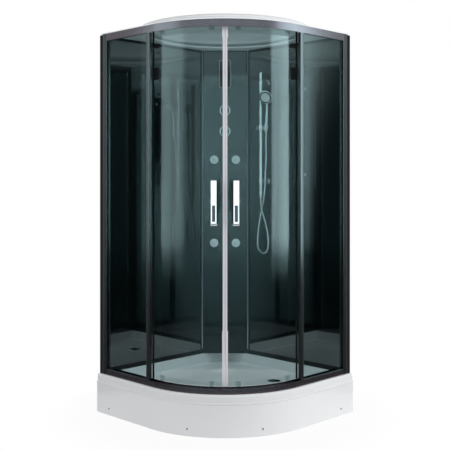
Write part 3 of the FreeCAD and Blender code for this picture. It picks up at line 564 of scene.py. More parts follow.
# ---------------------------------------------------------------- front rails and posts
BOTTOM_RAIL = rounded([(479, 210), (528, 210), (528, 238), (525, 238), (525, 220), (513, 220),
                       (513, 238), (510, 238), (510, 220), (482, 220), (482, 238), (479, 238)], 1.2)
TOP_RAIL = rounded([(481, 2077), (481, 2080), (528, 2080), (528, 2041), (526, 2041), (526, 2056),
                    (481, 2056), (481, 2061.5), (483, 2061.5), (483, 2059), (526, 2059), (526, 2077)], 1.2)
RAIL_END = 441.0
for name, section in (("bottom", BOTTOM_RAIL), ("top", TOP_RAIL)):
    piece(name + "_front_rail", [carried(section, front_path(RAIL_END))], ANODISED_RAIL_PAINTED_LIGHTER, "cabin",
          [name + "_rail"])


def both(shell):
    return [shell, mirrored(shell)]


INNER, OUTER = 464.0, 472.0  # the fixed glass stands in this slot of each post
MIDDLE_Z = (238.0, 2041.0)  # from the bottom rail's lips to the top rail's
mid_outline = rounded([(460, 76), (478, 76), (478, 102), (OUTER, 102), (OUTER, 89), (INNER, 89),
                       (INNER, 102), (460, 102)], 2.0)
piece("middle_posts", both(prism(mid_outline, *MIDDLE_Z)), ANODISED, "cabin", ["mid_posts"])
end_outline = rounded([(450, 441), (INNER, 441), (INNER, 456), (OUTER, 456), (OUTER, 441), (478, 441),
                       (478, 475), (450, 475)], 2.0)
piece("end_posts", both(prism(end_outline, RIM_Z, RAIL_TOP)), ANODISED, "cabin",
      ["wall_posts"])

# ---------------------------------------------------------------- walls and corner column


def pane_paint():
    """Coat of paint 0.3 thick over the back face of the pane along +y."""
    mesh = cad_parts["wall_glass"].data
    points = np.zeros(len(mesh.vertices) * 3)
    mesh.vertices.foreach_get("co", points)
    points = points.reshape(-1, 3) / MM
    back = points[:, 1].max()
    face = points[points[:, 1] > back - 0.01]
    (left, _, low), (right, _, high) = face.min(axis=0), face.max(axis=0)
    return slab((left, right), (back + 0.02, back + 0.32), (low, high))


piece("pane_paint", both(pane_paint()), GLASS_PAINT, "cabin")
for node, material in (("wall_glass", BLACK_GLASS), ("wall_frames", BLACK_FRAME), ("corner_panel", COLUMN),
                       ("wall_mirror", MIRROR), ("panel_trims", BRIGHT), ("post_gaskets", BRIGHT),
                       ("fixed_glass", GLASS), ("glass_seals", GASKET)):
    repaint(node, material)

LAMP_HW, LAMP_LOW, LAMP_HIGH = 36.0, 1844.0, 2016.0


def lamp_outline(inset):
    hw, low, high = LAMP_HW - inset, LAMP_LOW + inset, LAMP_HIGH - inset
    return rounded([(-hw, low), (hw, low), (hw, high), (-hw, high)], 12.0 - inset, steps=8)


def lamp_loops(section):
    """The lamp's outline at every inset and height off the panel."""
    return np.array([np.column_stack([lamp_outline(inset), np.full(36, h)]) for inset, h in section])


# A rounded bead goes round the lamp, and a pillow that rises by 0.5 mm covers it.
bead = lamp_loops([(0, 0), (0, 2.2), (1.2, 3), (2.8, 3), (4, 2.2), (4, 0)])
pillow = lamp_loops([(4, 0.0), (4, 1.2), (4.6, 1.5), (8, 1.7)])
piece("lamp_rim", [on_panel(grid(bead, wrap_rows=True, wrap_columns=True), 0, 0)], BRIGHT, "cabin",
      ["lamp_bezel"])
piece("lamp_cover", [on_panel(capped(pillow), 0, 0)], SMOKED, "cabin", ["lamp_lens"])

JETS = [(u, z) for z in (890.0, 1149.0, 1402.0) for u in (-67.0, 67.0)]
RING = [(26, 0), (26, 2.6), (24.6, 4.4), (22.5, 5), (19.5, 4.7), (18.4, 3.6), (17.6, 2.6), (16.6, 2.0),
        (16.6, -2), (17.2, -8), (15, -14), (22, -14), (22, 0)]
flange = lathe(rounded(RING, 0.5), 64, ring=True)
piece("jet_flanges", [on_panel(flange, u, z) for u, z in JETS], JET_GREY, "cabin",
      ["jet_rings"])


def jet_ball():
    """Ball of radius 17 with its middle 6 behind the face, a flat front, two grooves and a nozzle hole."""
    a = np.radians(np.linspace(-58, 52, 20))
    side = np.column_stack([17 * np.cos(a), 17 * np.sin(a) - 6])
    front = [(9.6, 7.9), (8.2, 8.0), (7.9, 7.2), (6.9, 7.2), (6.6, 8.0), (4.6, 8.0), (3.0, 6.8), (3.0, -16)]
    return lathe(np.vstack([side, front, [(8.9, -20.4)]]), 48, ring=True)


for number, (u, z) in enumerate(JETS, 1):
    name = "jet_%d" % number
    piece(name + "_ball", [on_panel(jet_ball(), u, z)], JET_GREY, name, [name])

KNOB_Z = {"mixer": 1575.0, "diverter": 1702.0}
KNOB = [(0, 23), (9, 23), (9, 29), (31, 30), (35, 32), (36, 35), (34.6, 38), (32, 39.6), (29, 39.8),
        (27, 38.6), (0, 37.6)]
STEM = [(0, 2.4), (19, 2.4), (19, 4.6), (13.5, 7.5), (12, 12), (12, 24), (0, 24)]
MIDDLE = [(0, 37.2), (26.4, 37.2), (26.4, 38.8), (24, 39.2), (0, 39.4)]
for name, z in KNOB_Z.items():
    disc = lathe(rounded(KNOB, 1.2, closed=False), 72)
    stem = lathe(rounded(STEM, 1.0, closed=False), 48)
    nib = slab((-3, 3), (30, 36.4), (34, 41.5))
    piece(name + "_dial", [on_panel(shell, 0, z) for shell in (disc, stem, nib)], CHROME, name,
          [name + "_knob"], smooth=40)
    middle = lathe(rounded(MIDDLE, 0.6, closed=False), 64)
    piece(name + "_middle", [on_panel(middle, 0, z)], SMOKED, name)

# ---------------------------------------------------------------- roof
DOME = np.array([-28.0, 28.0])
ANGLES = np.radians(np.linspace(0, 360, 240, endpoint=False))
NO_FRONT = -1000.0  # an inset that puts the front out of reach
BRIM_Z = 2086.0
CEILING_Z = 2074.0


def plan_reach(front, wall):
    """Distance from the dome's centre to the cabin's plan line in each direction: the nearest straight
    side, or the front arc where the ray leaves through it."""
    r = TRAY_R - front
    x, y = r - CENTRE, HALF - wall
    c, s = np.cos(ANGLES), np.sin(ANGLES)
    with np.errstate(divide="ignore"):
        sideways = np.where(c > 0, (x - DOME[0]) / c, (-y - DOME[0]) / c)
        lengthways = np.where(s > 0, (y - DOME[1]) / s, (-x - DOME[1]) / s)
    sideways = np.where(np.abs(c) < 1e-9, np.inf, sideways)
    straight = np.minimum(sideways, np.where(np.abs(s) < 1e-9, np.inf, lengthways))
    offset = DOME - [-CENTRE, CENTRE]
    along = offset[0] * c + offset[1] * s
    curved = -along + np.sqrt(along**2 - offset.dot(offset) + r**2)
    on_front = (DOME[0] + curved * c > -CENTRE) & (DOME[1] + curved * s < CENTRE)
    return np.where(on_front, curved, straight)


def roof():
    """Rings round the dome's centre: a shallow crown, a rounded shoulder, an upright side, the flat brim,
    the ceiling below it, the round opening and the hollow of the dome. Near the walls a ring's radius
    is held 6 mm inside them."""
    squeeze = np.minimum(1.0, plan_reach(NO_FRONT, 6) / 480)
    rings = []

    def ring(radius, z):
        plan = DOME + np.column_stack([np.cos(ANGLES), np.sin(ANGLES)]) * np.reshape(radius, (-1, 1))
        rings.append(np.column_stack([plan, np.broadcast_to(z, len(plan))]))

    def crown(edge, low, high, radii):
        """z on a ball through the crown's edge and its top."""
        rise = high - low
        ball = (edge**2 + rise**2) / (2 * rise)
        return [(r * squeeze, high - ball + math.sqrt(ball**2 - r**2)) for r in radii]

    for radius, z in crown(452, 2112, 2150, (0, 60, 120, 190, 260, 320, 380, 425, 445)):
        ring(radius, z)
    shoulder = rounded([(445, 2113.2), (470, 2110), (480, 2101), (480, BRIM_Z)], 9, closed=False, steps=5)
    for radius, z in shoulder[6:]:
        ring(radius * squeeze, z)
    brim = plan_reach(24, 0)
    shelf = plan_reach(70, 24.5)
    for radius, z in ((np.minimum(brim - 3, 488), BRIM_Z), (brim - 1.5, BRIM_Z), (brim, BRIM_Z - 1.5),
                      (brim, RAIL_TOP), (shelf, RAIL_TOP), (shelf, CEILING_Z), (416, CEILING_Z),
                      (410, 2074.6), (407, 2076.4), (406, 2079), (406, 2083), (464, 2083)):
        ring(radius, z)
    ring(464 * squeeze, 2093)
    for radius, z in crown(446, 2105, 2144, (445, 380, 300, 200, 100, 0)):
        ring(radius, z)
    return grid(np.array(rings), wrap_columns=True)


piece("acrylic_roof", [roof()], ACRYLIC, "cabin", ["roof"], smooth=40)

# ---------------------------------------------------------------- sliding doors, right one drawn
DOOR_R = 480.0
GLASS_LOW, GLASS_HIGH = 243.0, 2051.0
PANE = rounded([(DOOR_R, GLASS_LOW), (DOOR_R + 6, GLASS_LOW), (DOOR_R + 6, GLASS_HIGH),
                (DOOR_R, GLASS_HIGH)], 1.0, steps=2)
STRIP_LOW, STRIP_HIGH = 241.0, 2047.0


def along_arc(plan):
    """Plan points (distance from the meeting line round the arc, radius) in x and y."""
    s, r = np.array(plan, float).T
    a = np.radians(-45 + np.degrees(s / (DOOR_R + 3)))
    return np.column_stack([-CENTRE + r * np.cos(a), CENTRE + r * np.sin(a)])


def meeting_strip():
    """Soft strip that grips the glass edge, with a round lip towards the other door; it has wider lips at
    its foot and head."""
    plan = [(0.6, 478), (0.6, 488), (3, 490), (11.6, 490), (11.6, 486.15), (5.6, 486.15), (5.6, 479.85),
            (11.6, 479.85), (11.6, 476), (3, 476)]
    lip = [(11.6, 486.15), (14.4, 486.15), (14.4, 489), (11.6, 490)]
    lips = [prism(along_arc(lip), low, high) for low, high in ((STRIP_LOW, 520), (1990, STRIP_HIGH))]
    return [prism(along_arc(rounded(plan, 1.4)), STRIP_LOW, STRIP_HIGH)] + lips


# Plan outline of the soft blade on the glass tail.
BLADE = rounded([(436, 84), (446, 84), (446, 90), (439, 95), (439, 98), (427, 98), (427, 95.1),
                 (436, 95.1)], 0.8)
BLOCK_Z = ((1962.0, 1985.0), (1798.0, 1861.0))
HANDLE_ANGLE = -38.7
HANDLE_LOW, HANDLE_HIGH = 1048.0, 1276.0


def handle_bar(t_half, front_r, back_r, foot):
    """Bar between two height fields: its front is rounded towards its edges by a quarter circle of 2.5
    and has a sunk field 1.2 deep; its foot slants by foot from front to back."""
    edge = np.array([0, 0.2, 0.7, 1.5, 2.5])
    low, high = HANDLE_LOW, HANDLE_HIGH
    full = high - low - foot
    t = np.concatenate([-t_half + edge, [3.2 - t_half, -8.55, -8.45, 8.45, 8.55, t_half - 3.2],
                        t_half - edge[::-1]])
    up = np.concatenate([edge, [3.2, 11.3, 12, 12.1, 60, 93.9, 94, 94.7, full - 3.2], full - edge[::-1]])
    tt, uu = np.meshgrid(t, up)
    near = np.minimum(np.minimum(t_half - np.abs(tt), uu), full - uu).clip(0, 2.5)
    height = front_r - np.sign(front_r - back_r) * (2.5 - np.sqrt(6.25 - (2.5 - near) ** 2))
    if foot:
        height = height - 1.2 * ((np.abs(tt) < 8.5) & (uu > 12.05) & (uu < 93.95))
    front = np.stack([tt, height, low + foot + uu], axis=-1)
    back_up = uu * (high - low) / full
    back = np.stack([tt, np.full_like(tt, back_r), low + back_up], axis=-1)
    return between(front, back)


def handle():
    """Outer and inner bar with two posts through the glass, at the handle's angle."""
    shells = [handle_bar(16.5, 518, 510, 8.0), handle_bar(16.5, 442, 450, 0.0)]
    for z in (1082.0, 1242.0):
        shells += [pointing(rod(7, 24.5), "+y", (0, 486, z)), pointing(rod(7, 30.5), "+y", (0, 449.5, z))]
    return [on_arc(shell, HANDLE_ANGLE) for shell in shells]


def handle_inset():
    """Thin plate in the outer bar's sunk field."""
    across, height = np.meshgrid([-8.3, 8.3], [1068.3, 1149.7])
    faces = [np.stack([across, np.full((2, 2), r), height], axis=-1) for r in (517.4, 516.7)]
    return [on_arc(between(*faces), HANDLE_ANGLE)]


def on_side(side, shells):
    return shells if side == "right" else [mirrored(shell) for shell in shells]


for side in ("right", "left"):
    body = side + "_door"
    pane = [carried(PANE, door_path(-44.3, 0, 45.0))]
    blade = [prism(BLADE, GLASS_LOW, GLASS_HIGH)]
    blocks = [slab((436, 444), (44, 84), z) for z in BLOCK_Z]
    piece(side + "_pane", on_side(side, pane), GLASS, body, [side + "_door_glass"])
    piece(side + "_strip", on_side(side, meeting_strip()), SEAL, body, [side + "_door_seal"])
    piece(side + "_blade", on_side(side, blade), RUBBER, body, [side + "_door_tail"])
    piece(side + "_blocks", on_side(side, blocks), RUBBER, body, bevel=1.0)
    piece(side + "_handle_bars", on_side(side, handle()), CHROME, body, [side + "_door_handle"],
          smooth=50)
    piece(side + "_handle_inset", on_side(side, handle_inset()), BRUSHED, body)
    smoothed(side + "_door_hangers", CLEAR, body)
    for letter in "ab":
        name = side + "_wheel_" + letter
        smoothed(name, NYLON, name)

# ---------------------------------------------------------------- shower rail and handset
RAIL_X, RAIL_Y, RAIL_R = -117.0, 419.0, 12.0
RAIL_FOOT, RAIL_HEAD = 1208.0, 1915.0


def on_rail(shell, way, z):
    return pointing(shell, way, (RAIL_X, RAIL_Y, z))


def rail_tube():
    """Tube with a slanted top: its height at an angle a is RAIL_HEAD + radius x cos a x tan 24 degrees."""
    a = np.linspace(0, 2 * math.pi, 40, endpoint=False)
    top = RAIL_HEAD + RAIL_R * np.cos(a) * math.tan(math.radians(24))
    loops = [(11.0, np.full(40, RAIL_FOOT)), (RAIL_R, np.full(40, RAIL_FOOT + 1)), (RAIL_R, top - 1),
             (11.2, top)]
    points = [np.column_stack([RAIL_X + r * np.cos(a), RAIL_Y + r * np.sin(a), z]) for r, z in loops]
    return capped(np.array(points))


piece("rail_tube", [rail_tube()], CHROME, "cabin", ["shower_rail"])
COLLAR = rounded([(RAIL_R + 0.05, -15), (16, -15), (16, 15), (RAIL_R + 0.05, 15)], 1.2)
BRACKET = rounded([(0, 13), (9, 13), (8, 30), (10, 56), (0, 56)], 3, closed=False)
ROSETTE = rounded([(0, 0), (19, 0), (19, 3), (15, 5.6), (10, 6.2), (0, 6.2)], 1.0, closed=False)
brackets = []
for z in (1269.0, 1860.0):
    brackets += [on_rail(lathe(COLLAR, 40, ring=True), "up", z), on_rail(lathe(BRACKET, 32), "+y", z),
                 pointing(lathe(ROSETTE, 40), "-y", (RAIL_X, 480, z))]
piece("rail_holders", brackets, CHROME, "cabin", ["rail_brackets"])

OUTLET = rounded([(0, 0), (8, 0), (10.5, 2), (10.5, 15), (9.6, 16.4), (10.5, 17.6), (13.5, 19), (13.5, 33),
                  (12.5, 36), (0, 36)], 0.8, closed=False)
piece("hose_outlet", [on_rail(lathe(OUTLET, 40), "up", 1172)], CHROME, "cabin", ["rail_outlet"])

SLIDER_Z = 1589.0
SLEEVE = rounded([(RAIL_R + 0.1, -17), (17, -17), (19, -14), (19, 14), (17, 17), (RAIL_R + 0.1, 17)], 1.2)
ARM = rounded([(0, 14), (11, 15), (9.2, 21), (10, 26.2), (5, 26.5), (5, 33), (0, 33)], 1.0, closed=False)
SPINDLE = rounded([(0, 14), (5, 14), (5, 34), (0, 34)], 0.5, closed=False)
slider = [on_rail(lathe(SLEEVE, 48, ring=True), "up", SLIDER_Z), on_rail(lathe(ARM, 32), "+x", SLIDER_Z),
          on_rail(lathe(SPINDLE, 24), "-x", SLIDER_Z)]
piece("slider_body", slider, CHROME, "slider", ["slider"])

GRIP_STEPS = 72


def clamp_grip():
    """Fluted grip: a lathe profile whose radius is times 1 - 0.05 x |cos 6a|^3 at an angle a."""
    a = np.linspace(0, 2 * math.pi, GRIP_STEPS, endpoint=False)
    flute = 1 - 0.05 * np.abs(np.cos(6 * a)) ** 3
    profile = rounded([(0, 0), (11, 0), (13.5, 2), (13.5, 13), (11, 16), (0, 16.6)], 1.2, closed=False)
    points = np.stack([np.outer(profile[:, 0], flute * np.cos(a)), np.outer(profile[:, 0], flute * np.sin(a)),
                       np.outer(profile[:, 1], np.ones(GRIP_STEPS))], axis=-1)
    return grid(points, wrap_columns=True)


grip = pointing(clamp_grip(), "-x", (RAIL_X - RAIL_R - 7.3, RAIL_Y, SLIDER_Z))
piece("clamp_grip", [grip], CHROME, "clamp_knob", ["slider_knob"])

# The handset leans out from the wall; its frame has z along the handle and y towards the spray.
UP = np.array([0.0698, -0.02991, 0.99711])
UP /= np.linalg.norm(UP)
OUT = np.array([0.37677, -0.92473, -0.05412])
OUT -= UP * OUT.dot(UP)
OUT /= np.linalg.norm(OUT)
SIDE = np.cross(UP, OUT)
PIVOT = np.array([-72.0, RAIL_Y, SLIDER_Z])


def held(shell):
    return moved(shell, PIVOT, -SIDE, OUT, UP)


def holder_cup():
    """Split cup: a ring's section swept round from one side of its slot to the other."""
    section = rounded([(10.4, -20), (14.5, -20), (16.8, -16), (17.2, 14), (16.2, 16), (12.75, 16)], 0.8)
    gap = math.asin(8.5 / 15)
    a = np.linspace(math.pi / 2 + gap, math.pi * 2.5 - gap, 49)
    r, h = section.T
    points = np.stack([np.outer(np.cos(a), r), np.outer(np.sin(a), r), np.outer(np.ones(49), h)], axis=-1)
    return capped(points)


piece("handset_cup", [held(holder_cup())], CHROME, "holder", ["handset_holder"])

HEAD_TILT = math.radians(25)
HEAD_AT = np.array([0.0, 26.0, 178.0])
HEAD_AXIS = np.array([0.0, math.cos(HEAD_TILT), -math.sin(HEAD_TILT)])
HEAD_UP = np.array([0.0, math.sin(HEAD_TILT), math.cos(HEAD_TILT)])


def on_head(shell):
    """A shell drawn on z as the spray's axis, set in the handset's head."""
    return held(moved(shell, HEAD_AT, (1, 0, 0), HEAD_UP, HEAD_AXIS))


FERRULE = rounded([(0, -34), (8.2, -34), (8.6, -26), (10.2, -20), (12.5, 16), (13.2, 20), (12.4, 24),
                   (10.6, 27), (0, 28)], 3, closed=False)


def neck():
    """Slim handle that bends forward and widens into the head. Its centre line is a quadratic curve
    y = 9 t^2 over the last 66, and its radius grows there from 8 to 17 as t^1.6."""
    z = np.concatenate([np.linspace(25, 110, 8)[:-1], np.linspace(110, 176, 14)])
    t = np.clip((z - 110) / 66, 0, 1)
    line = np.column_stack([np.zeros(len(z)), 9 * t**2, z])
    radii = np.where(z < 110, 10.6 - 2.6 * (z - 25) / 85, 8 + 9 * t**1.6)
    return tube(line, radii, 32)


HEAD = rounded([(0, -24), (14, -22), (31, -12), (41, -3), (43, 2), (42, 6), (39, 8), (35, 8), (34, 7),
                (34, 4), (0, 4)], 3, closed=False)
piece("handset_shell", [held(lathe(FERRULE, 40)), held(neck()), on_head(lathe(HEAD, 72))], CHROME, "handset",
      ["handset"])
FACE = rounded([(0, 3), (29, 3), (29, 8.8), (27, 10.6), (22, 11.2), (21.5, 10.6), (20.5, 10.6), (20, 11.3),
                (0, 11.6)], 0.8, closed=False)
FACE_RING = rounded([(29.05, 3), (33, 3), (33, 8.6), (29.05, 9.6)], 0.6)
nozzle = lathe([(0, 10), (1.7, 10), (1.5, 12.6), (0.8, 13), (0, 12.4)], 12)
spots = [(radius * math.cos(math.tau * k / count), radius * math.sin(math.tau * k / count), 0)
         for radius, count in ((9, 6), (17, 12), (25, 18)) for k in range(count)]
piece("spray_plate", [on_head(lathe(FACE, 64))], JET_GREY, "spray_face", ["handset_face"])
piece("spray_ring", [on_head(lathe(FACE_RING, 64, ring=True))], RUBBER, "spray_face")
piece("spray_nozzles", [on_head(shell) for shell in repeated(nozzle, spots)], RUBBER, "spray_face")

# ---------------------------------------------------------------- drain, mirror caps and hidden parts
COVER = rounded([(0, 0.2), (37, 0.2), (37, 2.2), (33, 4.4), (20, 6.1), (0, 6.6)], 1.0, closed=False)
SLEEVE_UNDER = [(24, 0.3), (26, 0.3), (26, -12), (24, -12)]
cover = [pointing(shell, "up", (*DRAIN, FLOOR_Z))
         for shell in (lathe(COVER, 64), lathe(SLEEVE_UNDER, 48, ring=True))]
piece("drain_cap", cover, CHROME, "drain_cover", ["drain_cover"])
CAP = rounded([(0, 0), (8, 0), (8, 4), (6, 5.8), (0, 6)], 1.0, closed=False)
caps = [pointing(lathe(CAP, 32), "-y", (177, 476, z)) for z in (1307.0, 1801.0)]
piece("mirror_buttons", caps, CHROME, "cabin", ["mirror_caps"])

for node, material, slot in (("tray_frame", BLACK_STEEL, "black_steel"), ("tray_feet", ZINC, "zinc_steel"),
                             ("drain_trap", TRAP, "drain_plastic"), ("valve_body", BRASS, "brass"),
                             ("water_pipes", BRASS, "brass")):
    smoothed(node, material, "cabin")

# ---------------------------------------------------------------- studio
# Plan places here are metres: u to the camera's right and w towards the camera from the cabin's middle.
TOWARDS_CAMERA = np.array([DIAGONAL, -DIAGONAL])
TO_THE_RIGHT = np.array([DIAGONAL, DIAGONAL])


def plan(u, w):
    return TO_THE_RIGHT * u + TOWARDS_CAMERA * w


def seen_only_by(light, objects):
    reach = bpy.data.collections.new(light.name + " reaches")
    for one in objects:
        reach.objects.link(one)
    light.light_linking.receiver_collection = reach


def softbox(name, bearing, distance, height, size, radiance, target_height, objects=None):
    """Square lamp that shiny things don't show. bearing is in degrees from the camera's side towards the
    right; its power gives the wanted radiance: pi x area x radiance. It may light some objects only."""
    b = math.radians(bearing)
    data = bpy.data.lights.new(name, "AREA")
    data.size = size
    data.energy = math.pi * size**2 * radiance
    lamp = bpy.data.objects.new(name, data)
    lamp.location = (*plan(distance * math.sin(b), distance * math.cos(b)), height)
    aim = Vector((0, 0, target_height)) - lamp.location
    lamp.rotation_euler = aim.to_track_quat("-Z", "Y").to_euler()
    lamp.visible_camera = False
    lamp.visible_glossy = False
    bpy.context.scene.collection.objects.link(lamp)
    if objects:
        seen_only_by(lamp, objects)


def named(*names):
    return [bpy.data.objects[name] for name in names]


# Lamps named inside light only what the toned glass would leave too dark.
fittings = named("jet_flanges", "spray_plate", "lamp_rim", "mixer_middle", "diverter_middle", "left_blocks",
                 "right_blocks") + named(*["jet_%d_ball" % (k + 1) for k in range(len(JETS))])
softbox("front softbox", 14.0, 3.6, 2.5, 2.2, 2.5, 0.9)
softbox("right softbox", 75.0, 3.0, 1.7, 2.0, 3.6, 1.0)
softbox("left softbox", -70.0, 3.0, 1.7, 2.0, 1.9, 1.0)
softbox("overhead softbox", 0.0, 0.0, 2.0, 0.7, 5.2, 0.0, named("acrylic_tray"))
softbox("inside high softbox", 8.0, 2.6, 3.6, 1.6, 4.5, 0.4, fittings)
softbox("inside front softbox", 8.0, 3.4, 1.5, 1.8, 6.0, 1.3, fittings)
softbox("inside low softbox", -6.0, 2.4, 0.2, 1.4, 8.0, 2.0, named("acrylic_roof") + fittings)


def card(name, line, heights, glow, shows_in, tone="#ffffff"):
    """Upright glowing card over a line of plan places, seen only by mirror reflection in the given
    objects. Its glow is an array over its length and height, kept in the mesh."""
    rows, columns = glow.shape
    level = np.linspace(*heights, columns)
    foot = np.array([plan(*place) for place in line])
    points = np.concatenate([np.repeat(foot[:, None], columns, axis=1),
                             np.broadcast_to(level[None, :, None], (rows, columns, 1))], axis=-1)
    vertices, faces = grid(points)
    mesh = bpy.data.meshes.new(name)
    mesh.from_pydata(vertices.tolist(), [], faces[0].tolist())
    mesh.attributes.new("glow", "FLOAT", "POINT").data.foreach_set("value", glow.ravel())
    material, tree, output = new_tree(name)
    strength = add(tree, "ShaderNodeAttribute", attribute_name="glow")
    light = add(tree, "ShaderNodeEmission", {"Color": colour(tone), "Strength": strength.outputs["Fac"]})
    clear = add(tree, "ShaderNodeBsdfTransparent")
    see_through = add(tree, "ShaderNodeAddShader", {0: light.outputs["Emission"], 1: clear.outputs["BSDF"]})
    tree.links.new(see_through.outputs["Shader"], output.inputs["Surface"])
    mesh.materials.append(material)
    made = bpy.data.objects.new(name, mesh)
    for kind in ("camera", "diffuse", "transmission", "shadow", "volume_scatter"):
        setattr(made, "visible_" + kind, False)
    bpy.context.scene.collection.objects.link(made)
    seen_only_by(made, shows_in)


def smooth_step(value, low, high):
    t = np.clip((value - low) / (high - low), 0, 1)
    return t * t * (3 - 2 * t)


panes = named("right_pane", "left_pane") + [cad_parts["fixed_glass"]]
metal_frame = named("middle_posts", "end_posts", "top_front_rail", "bottom_front_rail")
bright_work = named("rail_tube", "rail_holders", "hose_outlet", "slider_body", "clamp_grip", "handset_cup",
                    "handset_shell", "hose_band", "mixer_dial", "diverter_dial", "drain_cap", "mirror_buttons")
handles = named("right_handle_bars", "left_handle_bars")
STUDIO_TONE = "#dcfbff"
CARD_U = 1.0  # the side cards stand this far to the right and left of the cabin's middle
CARD_Z = (0.6, 2.6)
card_up = np.linspace(*CARD_Z, 61)[None]


def side_line(side, first, last, steps):
    w = np.linspace(first, last, steps)
    return np.column_stack([np.full(steps, side * CARD_U), w]), w[:, None]


def right_door_glow(w):
    """Brightest at its outer end, with a soft inner and lower edge."""
    level = 2.9 + 1.7 * np.clip((0.62 - w) / 0.4, 0, 1)
    return level * smooth_step(-w, -0.79, -0.70) * smooth_step(card_up, 0.72, 0.94)


def right_side_glow(w):
    """Brightest high up beside the middle post; it falls off outwards, faster lower down."""
    high = np.clip((card_up - 0.85) / 1.14, 0, 1.3)
    fall = 0.018 + 0.065 * high**3
    return 1.6 * high**0.6 * np.exp(-np.clip(0.168 - w, 0, None) / fall)


def left_door_glow(w):
    """Brightest near its outer edge, soft at both ends and below, with a faint strip beyond."""
    level = (1.6 - 0.6 * (w - 0.36) / 0.53) * smooth_step(w, 0.19, 0.32) * smooth_step(-w, -1.0, -0.8)
    return (0.2 + level) * smooth_step(card_up, 0.72, 0.94)


for name, (line, w), glow in (("right door card", side_line(1, 0.80, 0.200, 64), right_door_glow),
                              ("right side card", side_line(1, 0.199, -0.12, 32), right_side_glow),
                              ("left door card", side_line(-1, 1.02, 0.17, 64), left_door_glow)):
    card(name, line, CARD_Z, glow(w), panes + metal_frame, STUDIO_TONE)


def even(level):
    return np.full((2, 2), level)


card("right handle card", [(0.65, 4.0), (1.2, 4.0)], (0.7, 1.5), even(1.45), handles)
card("left handle card", [(-1.2, 4.0), (-0.65, 4.0)], (0.7, 1.5), even(1.45), handles)

TENT_Z = (-0.9, 3.1)
bearing = np.radians(np.linspace(-140, 140, 141))
turn_away = np.degrees(np.abs(bearing))[:, None]
tent_up = np.linspace(*TENT_Z, 61)[None]


def round_about(radius):
    return np.column_stack([radius * np.sin(bearing), radius * np.cos(bearing)])


def bright_tent():
    """Even white with a darker band straight ahead, so that a round bar shows a line down its middle."""
    ahead = 1 - 0.75 * (1 - smooth_step(turn_away, 6, 16))
    return 1.5 * ahead * (1 - 0.8 * smooth_step(turn_away, 85, 130)) * np.ones_like(tent_up)


def frame_tent():
    """Dim, and dimmer below."""
    level = np.interp(tent_up, [-0.3, 0.2, 0.9, 1.5, 2.3], [0.08, 0.14, 0.28, 0.42, 0.60])
    return level * np.ones_like(turn_away)


card("bright tent", round_about(2.6), TENT_Z, bright_tent(), bright_work)
card("frame tent", round_about(2.75), TENT_Z, frame_tent(), metal_frame)
card("dial card", [(-0.4, 3.4), (0.4, 3.4)], (1.2, 2.8), even(0.9), named("mixer_dial", "diverter_dial"))

# The corner shows the lighter upper half of the studio, which fades out below.
wall_glass, column = [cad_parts[node] for node in ("wall_glass", "corner_panel")]
FADE_Z = (-0.5, 3.0)
fade = np.interp(np.linspace(*FADE_Z, 71)[None], [-0.5, -0.17, 0.24, 0.66, 1.07, 1.5, 2.2, 2.8],
                 [0.0, 0.12, 0.28, 0.68, 0.85, 1.0, 1.05, 1.6]) * np.ones((2, 1))
card("wall card", [(-0.9, 3.0), (0.9, 3.0)], FADE_Z, 1.4 * fade, [wall_glass], STUDIO_TONE)
card("column card", [(-0.9, 3.1), (0.9, 3.1)], FADE_Z, 3.2 * fade, [column], STUDIO_TONE)

# The top rail hides the studio from the corner's upper end, which shows these faint cards close to it.
HIGH_Z = (1.88, 2.07)
rise = np.interp(np.linspace(*HIGH_Z, 20)[None], [1.895, 1.935], [0.0, 1.0]) * np.ones((4, 1))
card("high wall card", [(-0.66, 0.0), (-0.13, -0.53), (0.13, -0.53), (0.66, 0.0)], HIGH_Z, 0.13 * rise,
     [wall_glass], STUDIO_TONE)
card("high column card", [(-0.13, -0.52), (0.13, -0.52)], HIGH_Z, 1.4 * rise[:2], [column], STUDIO_TONE)


def seen_directly(tree, ray):
    """1 for what the camera sees, straight or through clear things, and 0 for other light."""
    return add(tree, "ShaderNodeMath", {0: ray.outputs["Is Camera Ray"], 1: ray.outputs["Is Transmission Ray"]},
               operation="MAXIMUM").outputs["Value"]


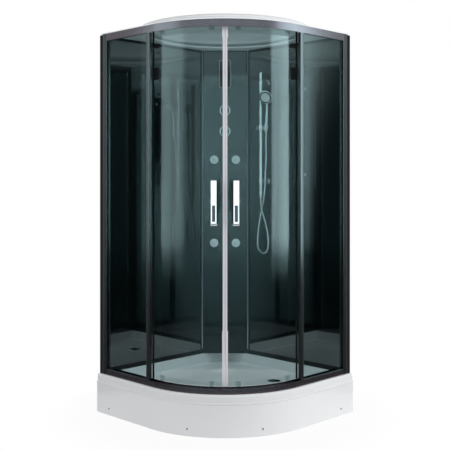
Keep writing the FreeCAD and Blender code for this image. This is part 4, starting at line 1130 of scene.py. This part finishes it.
def studio_world():
    """White behind the object; what shines sees white there too and a dim studio on the camera's side,
    lighter above eye level than below it; matt surfaces get an even light."""
    world = bpy.data.worlds.new("studio")
    bpy.context.scene.world = world
    world.use_nodes = True
    tree = world.node_tree
    tree.nodes.clear()
    ray = add(tree, "ShaderNodeLightPath")
    way = add(tree, "ShaderNodeTexCoord").outputs["Generated"]
    towards = add(tree, "ShaderNodeVectorMath", {0: way, 1: (*TOWARDS_CAMERA, 0)}, operation="DOT_PRODUCT")
    height = add(tree, "ShaderNodeSeparateXYZ", {"Vector": way})
    level = add(tree, "ShaderNodeMapRange", {"Value": height.outputs["Z"], "From Min": -0.25,
                                             "From Max": 0.25})
    ramp = add(tree, "ShaderNodeValToRGB", {"Fac": level.outputs["Result"]})
    stops = ramp.color_ramp.elements
    stops[0].position, stops[0].color = 0.10, (0.012, 0.022, 0.024, 1)
    stops[1].position, stops[1].color = 0.85, (0.36, 0.56, 0.61, 1)
    for position, shade in ((0.16, 0.06), (0.26, 0.15), (0.36, 0.37), (0.66, 0.50)):
        stops.new(position).color = (shade * 0.64, shade, shade * 1.08, 1)
    spread = add(tree, "ShaderNodeMapRange", {"Value": towards.outputs["Value"], "From Min": 0.25,
                                              "From Max": 0.85, "To Min": 0.06, "To Max": 1.0})
    front = add(tree, "ShaderNodeVectorMath", {0: ramp.outputs["Color"], "Scale": spread.outputs["Result"]},
                operation="SCALE")
    behind = add(tree, "ShaderNodeMapRange", {"Value": towards.outputs["Value"], "From Min": -0.25,
                                              "From Max": -0.6})
    shiny = add(tree, "ShaderNodeMix", {"Factor": behind.outputs["Result"], 6: front.outputs["Vector"],
                                        7: (1, 1, 1, 1)}, data_type="RGBA")
    matt = add(tree, "ShaderNodeMix", {"Factor": ray.outputs["Is Glossy Ray"], 6: (0.34, 0.345, 0.35, 1),
                                       7: shiny.outputs[2]}, data_type="RGBA")
    last = add(tree, "ShaderNodeMix", {"Factor": seen_directly(tree, ray), 6: matt.outputs[2],
                                       7: (1, 1, 1, 1)}, data_type="RGBA")
    light = add(tree, "ShaderNodeBackground", {"Color": last.outputs[2], "Strength": 1.0})
    output = add(tree, "ShaderNodeOutputWorld")
    tree.links.new(light.outputs["Background"], output.inputs["Surface"])


FLOOR_R = 1.0


def floor():
    """Round white floor. What looks at it directly sees mostly plain white, with a trace of the shadow
    that fades out towards its edge."""
    material, tree, output = new_tree("white floor")
    ray = add(tree, "ShaderNodeLightPath")
    seen = add(tree, "ShaderNodeMath", {0: seen_directly(tree, ray), 1: ray.outputs["Is Glossy Ray"]},
               operation="MAXIMUM")
    place = add(tree, "ShaderNodeTexCoord")
    reach = add(tree, "ShaderNodeVectorMath", {"Vector": place.outputs["Object"]}, operation="LENGTH")
    fade = add(tree, "ShaderNodeMapRange", {"Value": reach.outputs["Value"], "From Min": 0.65 * FLOOR_R,
                                            "From Max": FLOOR_R, "To Min": 0.93, "To Max": 1.0})
    share = add(tree, "ShaderNodeMath", {0: seen.outputs["Value"], 1: fade.outputs["Result"]},
                operation="MULTIPLY")
    matt = add(tree, "ShaderNodeBsdfDiffuse", {"Color": (0.8, 0.8, 0.8, 1)})
    plain = add(tree, "ShaderNodeEmission", {"Color": (1, 1, 1, 1), "Strength": 1.0})
    mixed = add(tree, "ShaderNodeMixShader", {0: share.outputs["Value"], 1: matt.outputs["BSDF"],
                                              2: plain.outputs["Emission"]})
    tree.links.new(mixed.outputs["Shader"], output.inputs["Surface"])
    a = np.linspace(0, 2 * math.pi, 96, endpoint=False)
    ring = np.column_stack([FLOOR_R * np.cos(a), FLOOR_R * np.sin(a), np.full(96, -0.0005)])
    mesh = bpy.data.meshes.new("floor")
    mesh.from_pydata(ring.tolist(), [], [list(range(96))])
    mesh.materials.append(material)
    made = bpy.data.objects.new("floor", mesh)
    bpy.context.scene.collection.objects.link(made)


studio_world()
floor()
bpy.context.scene.view_settings.view_transform = "Standard"
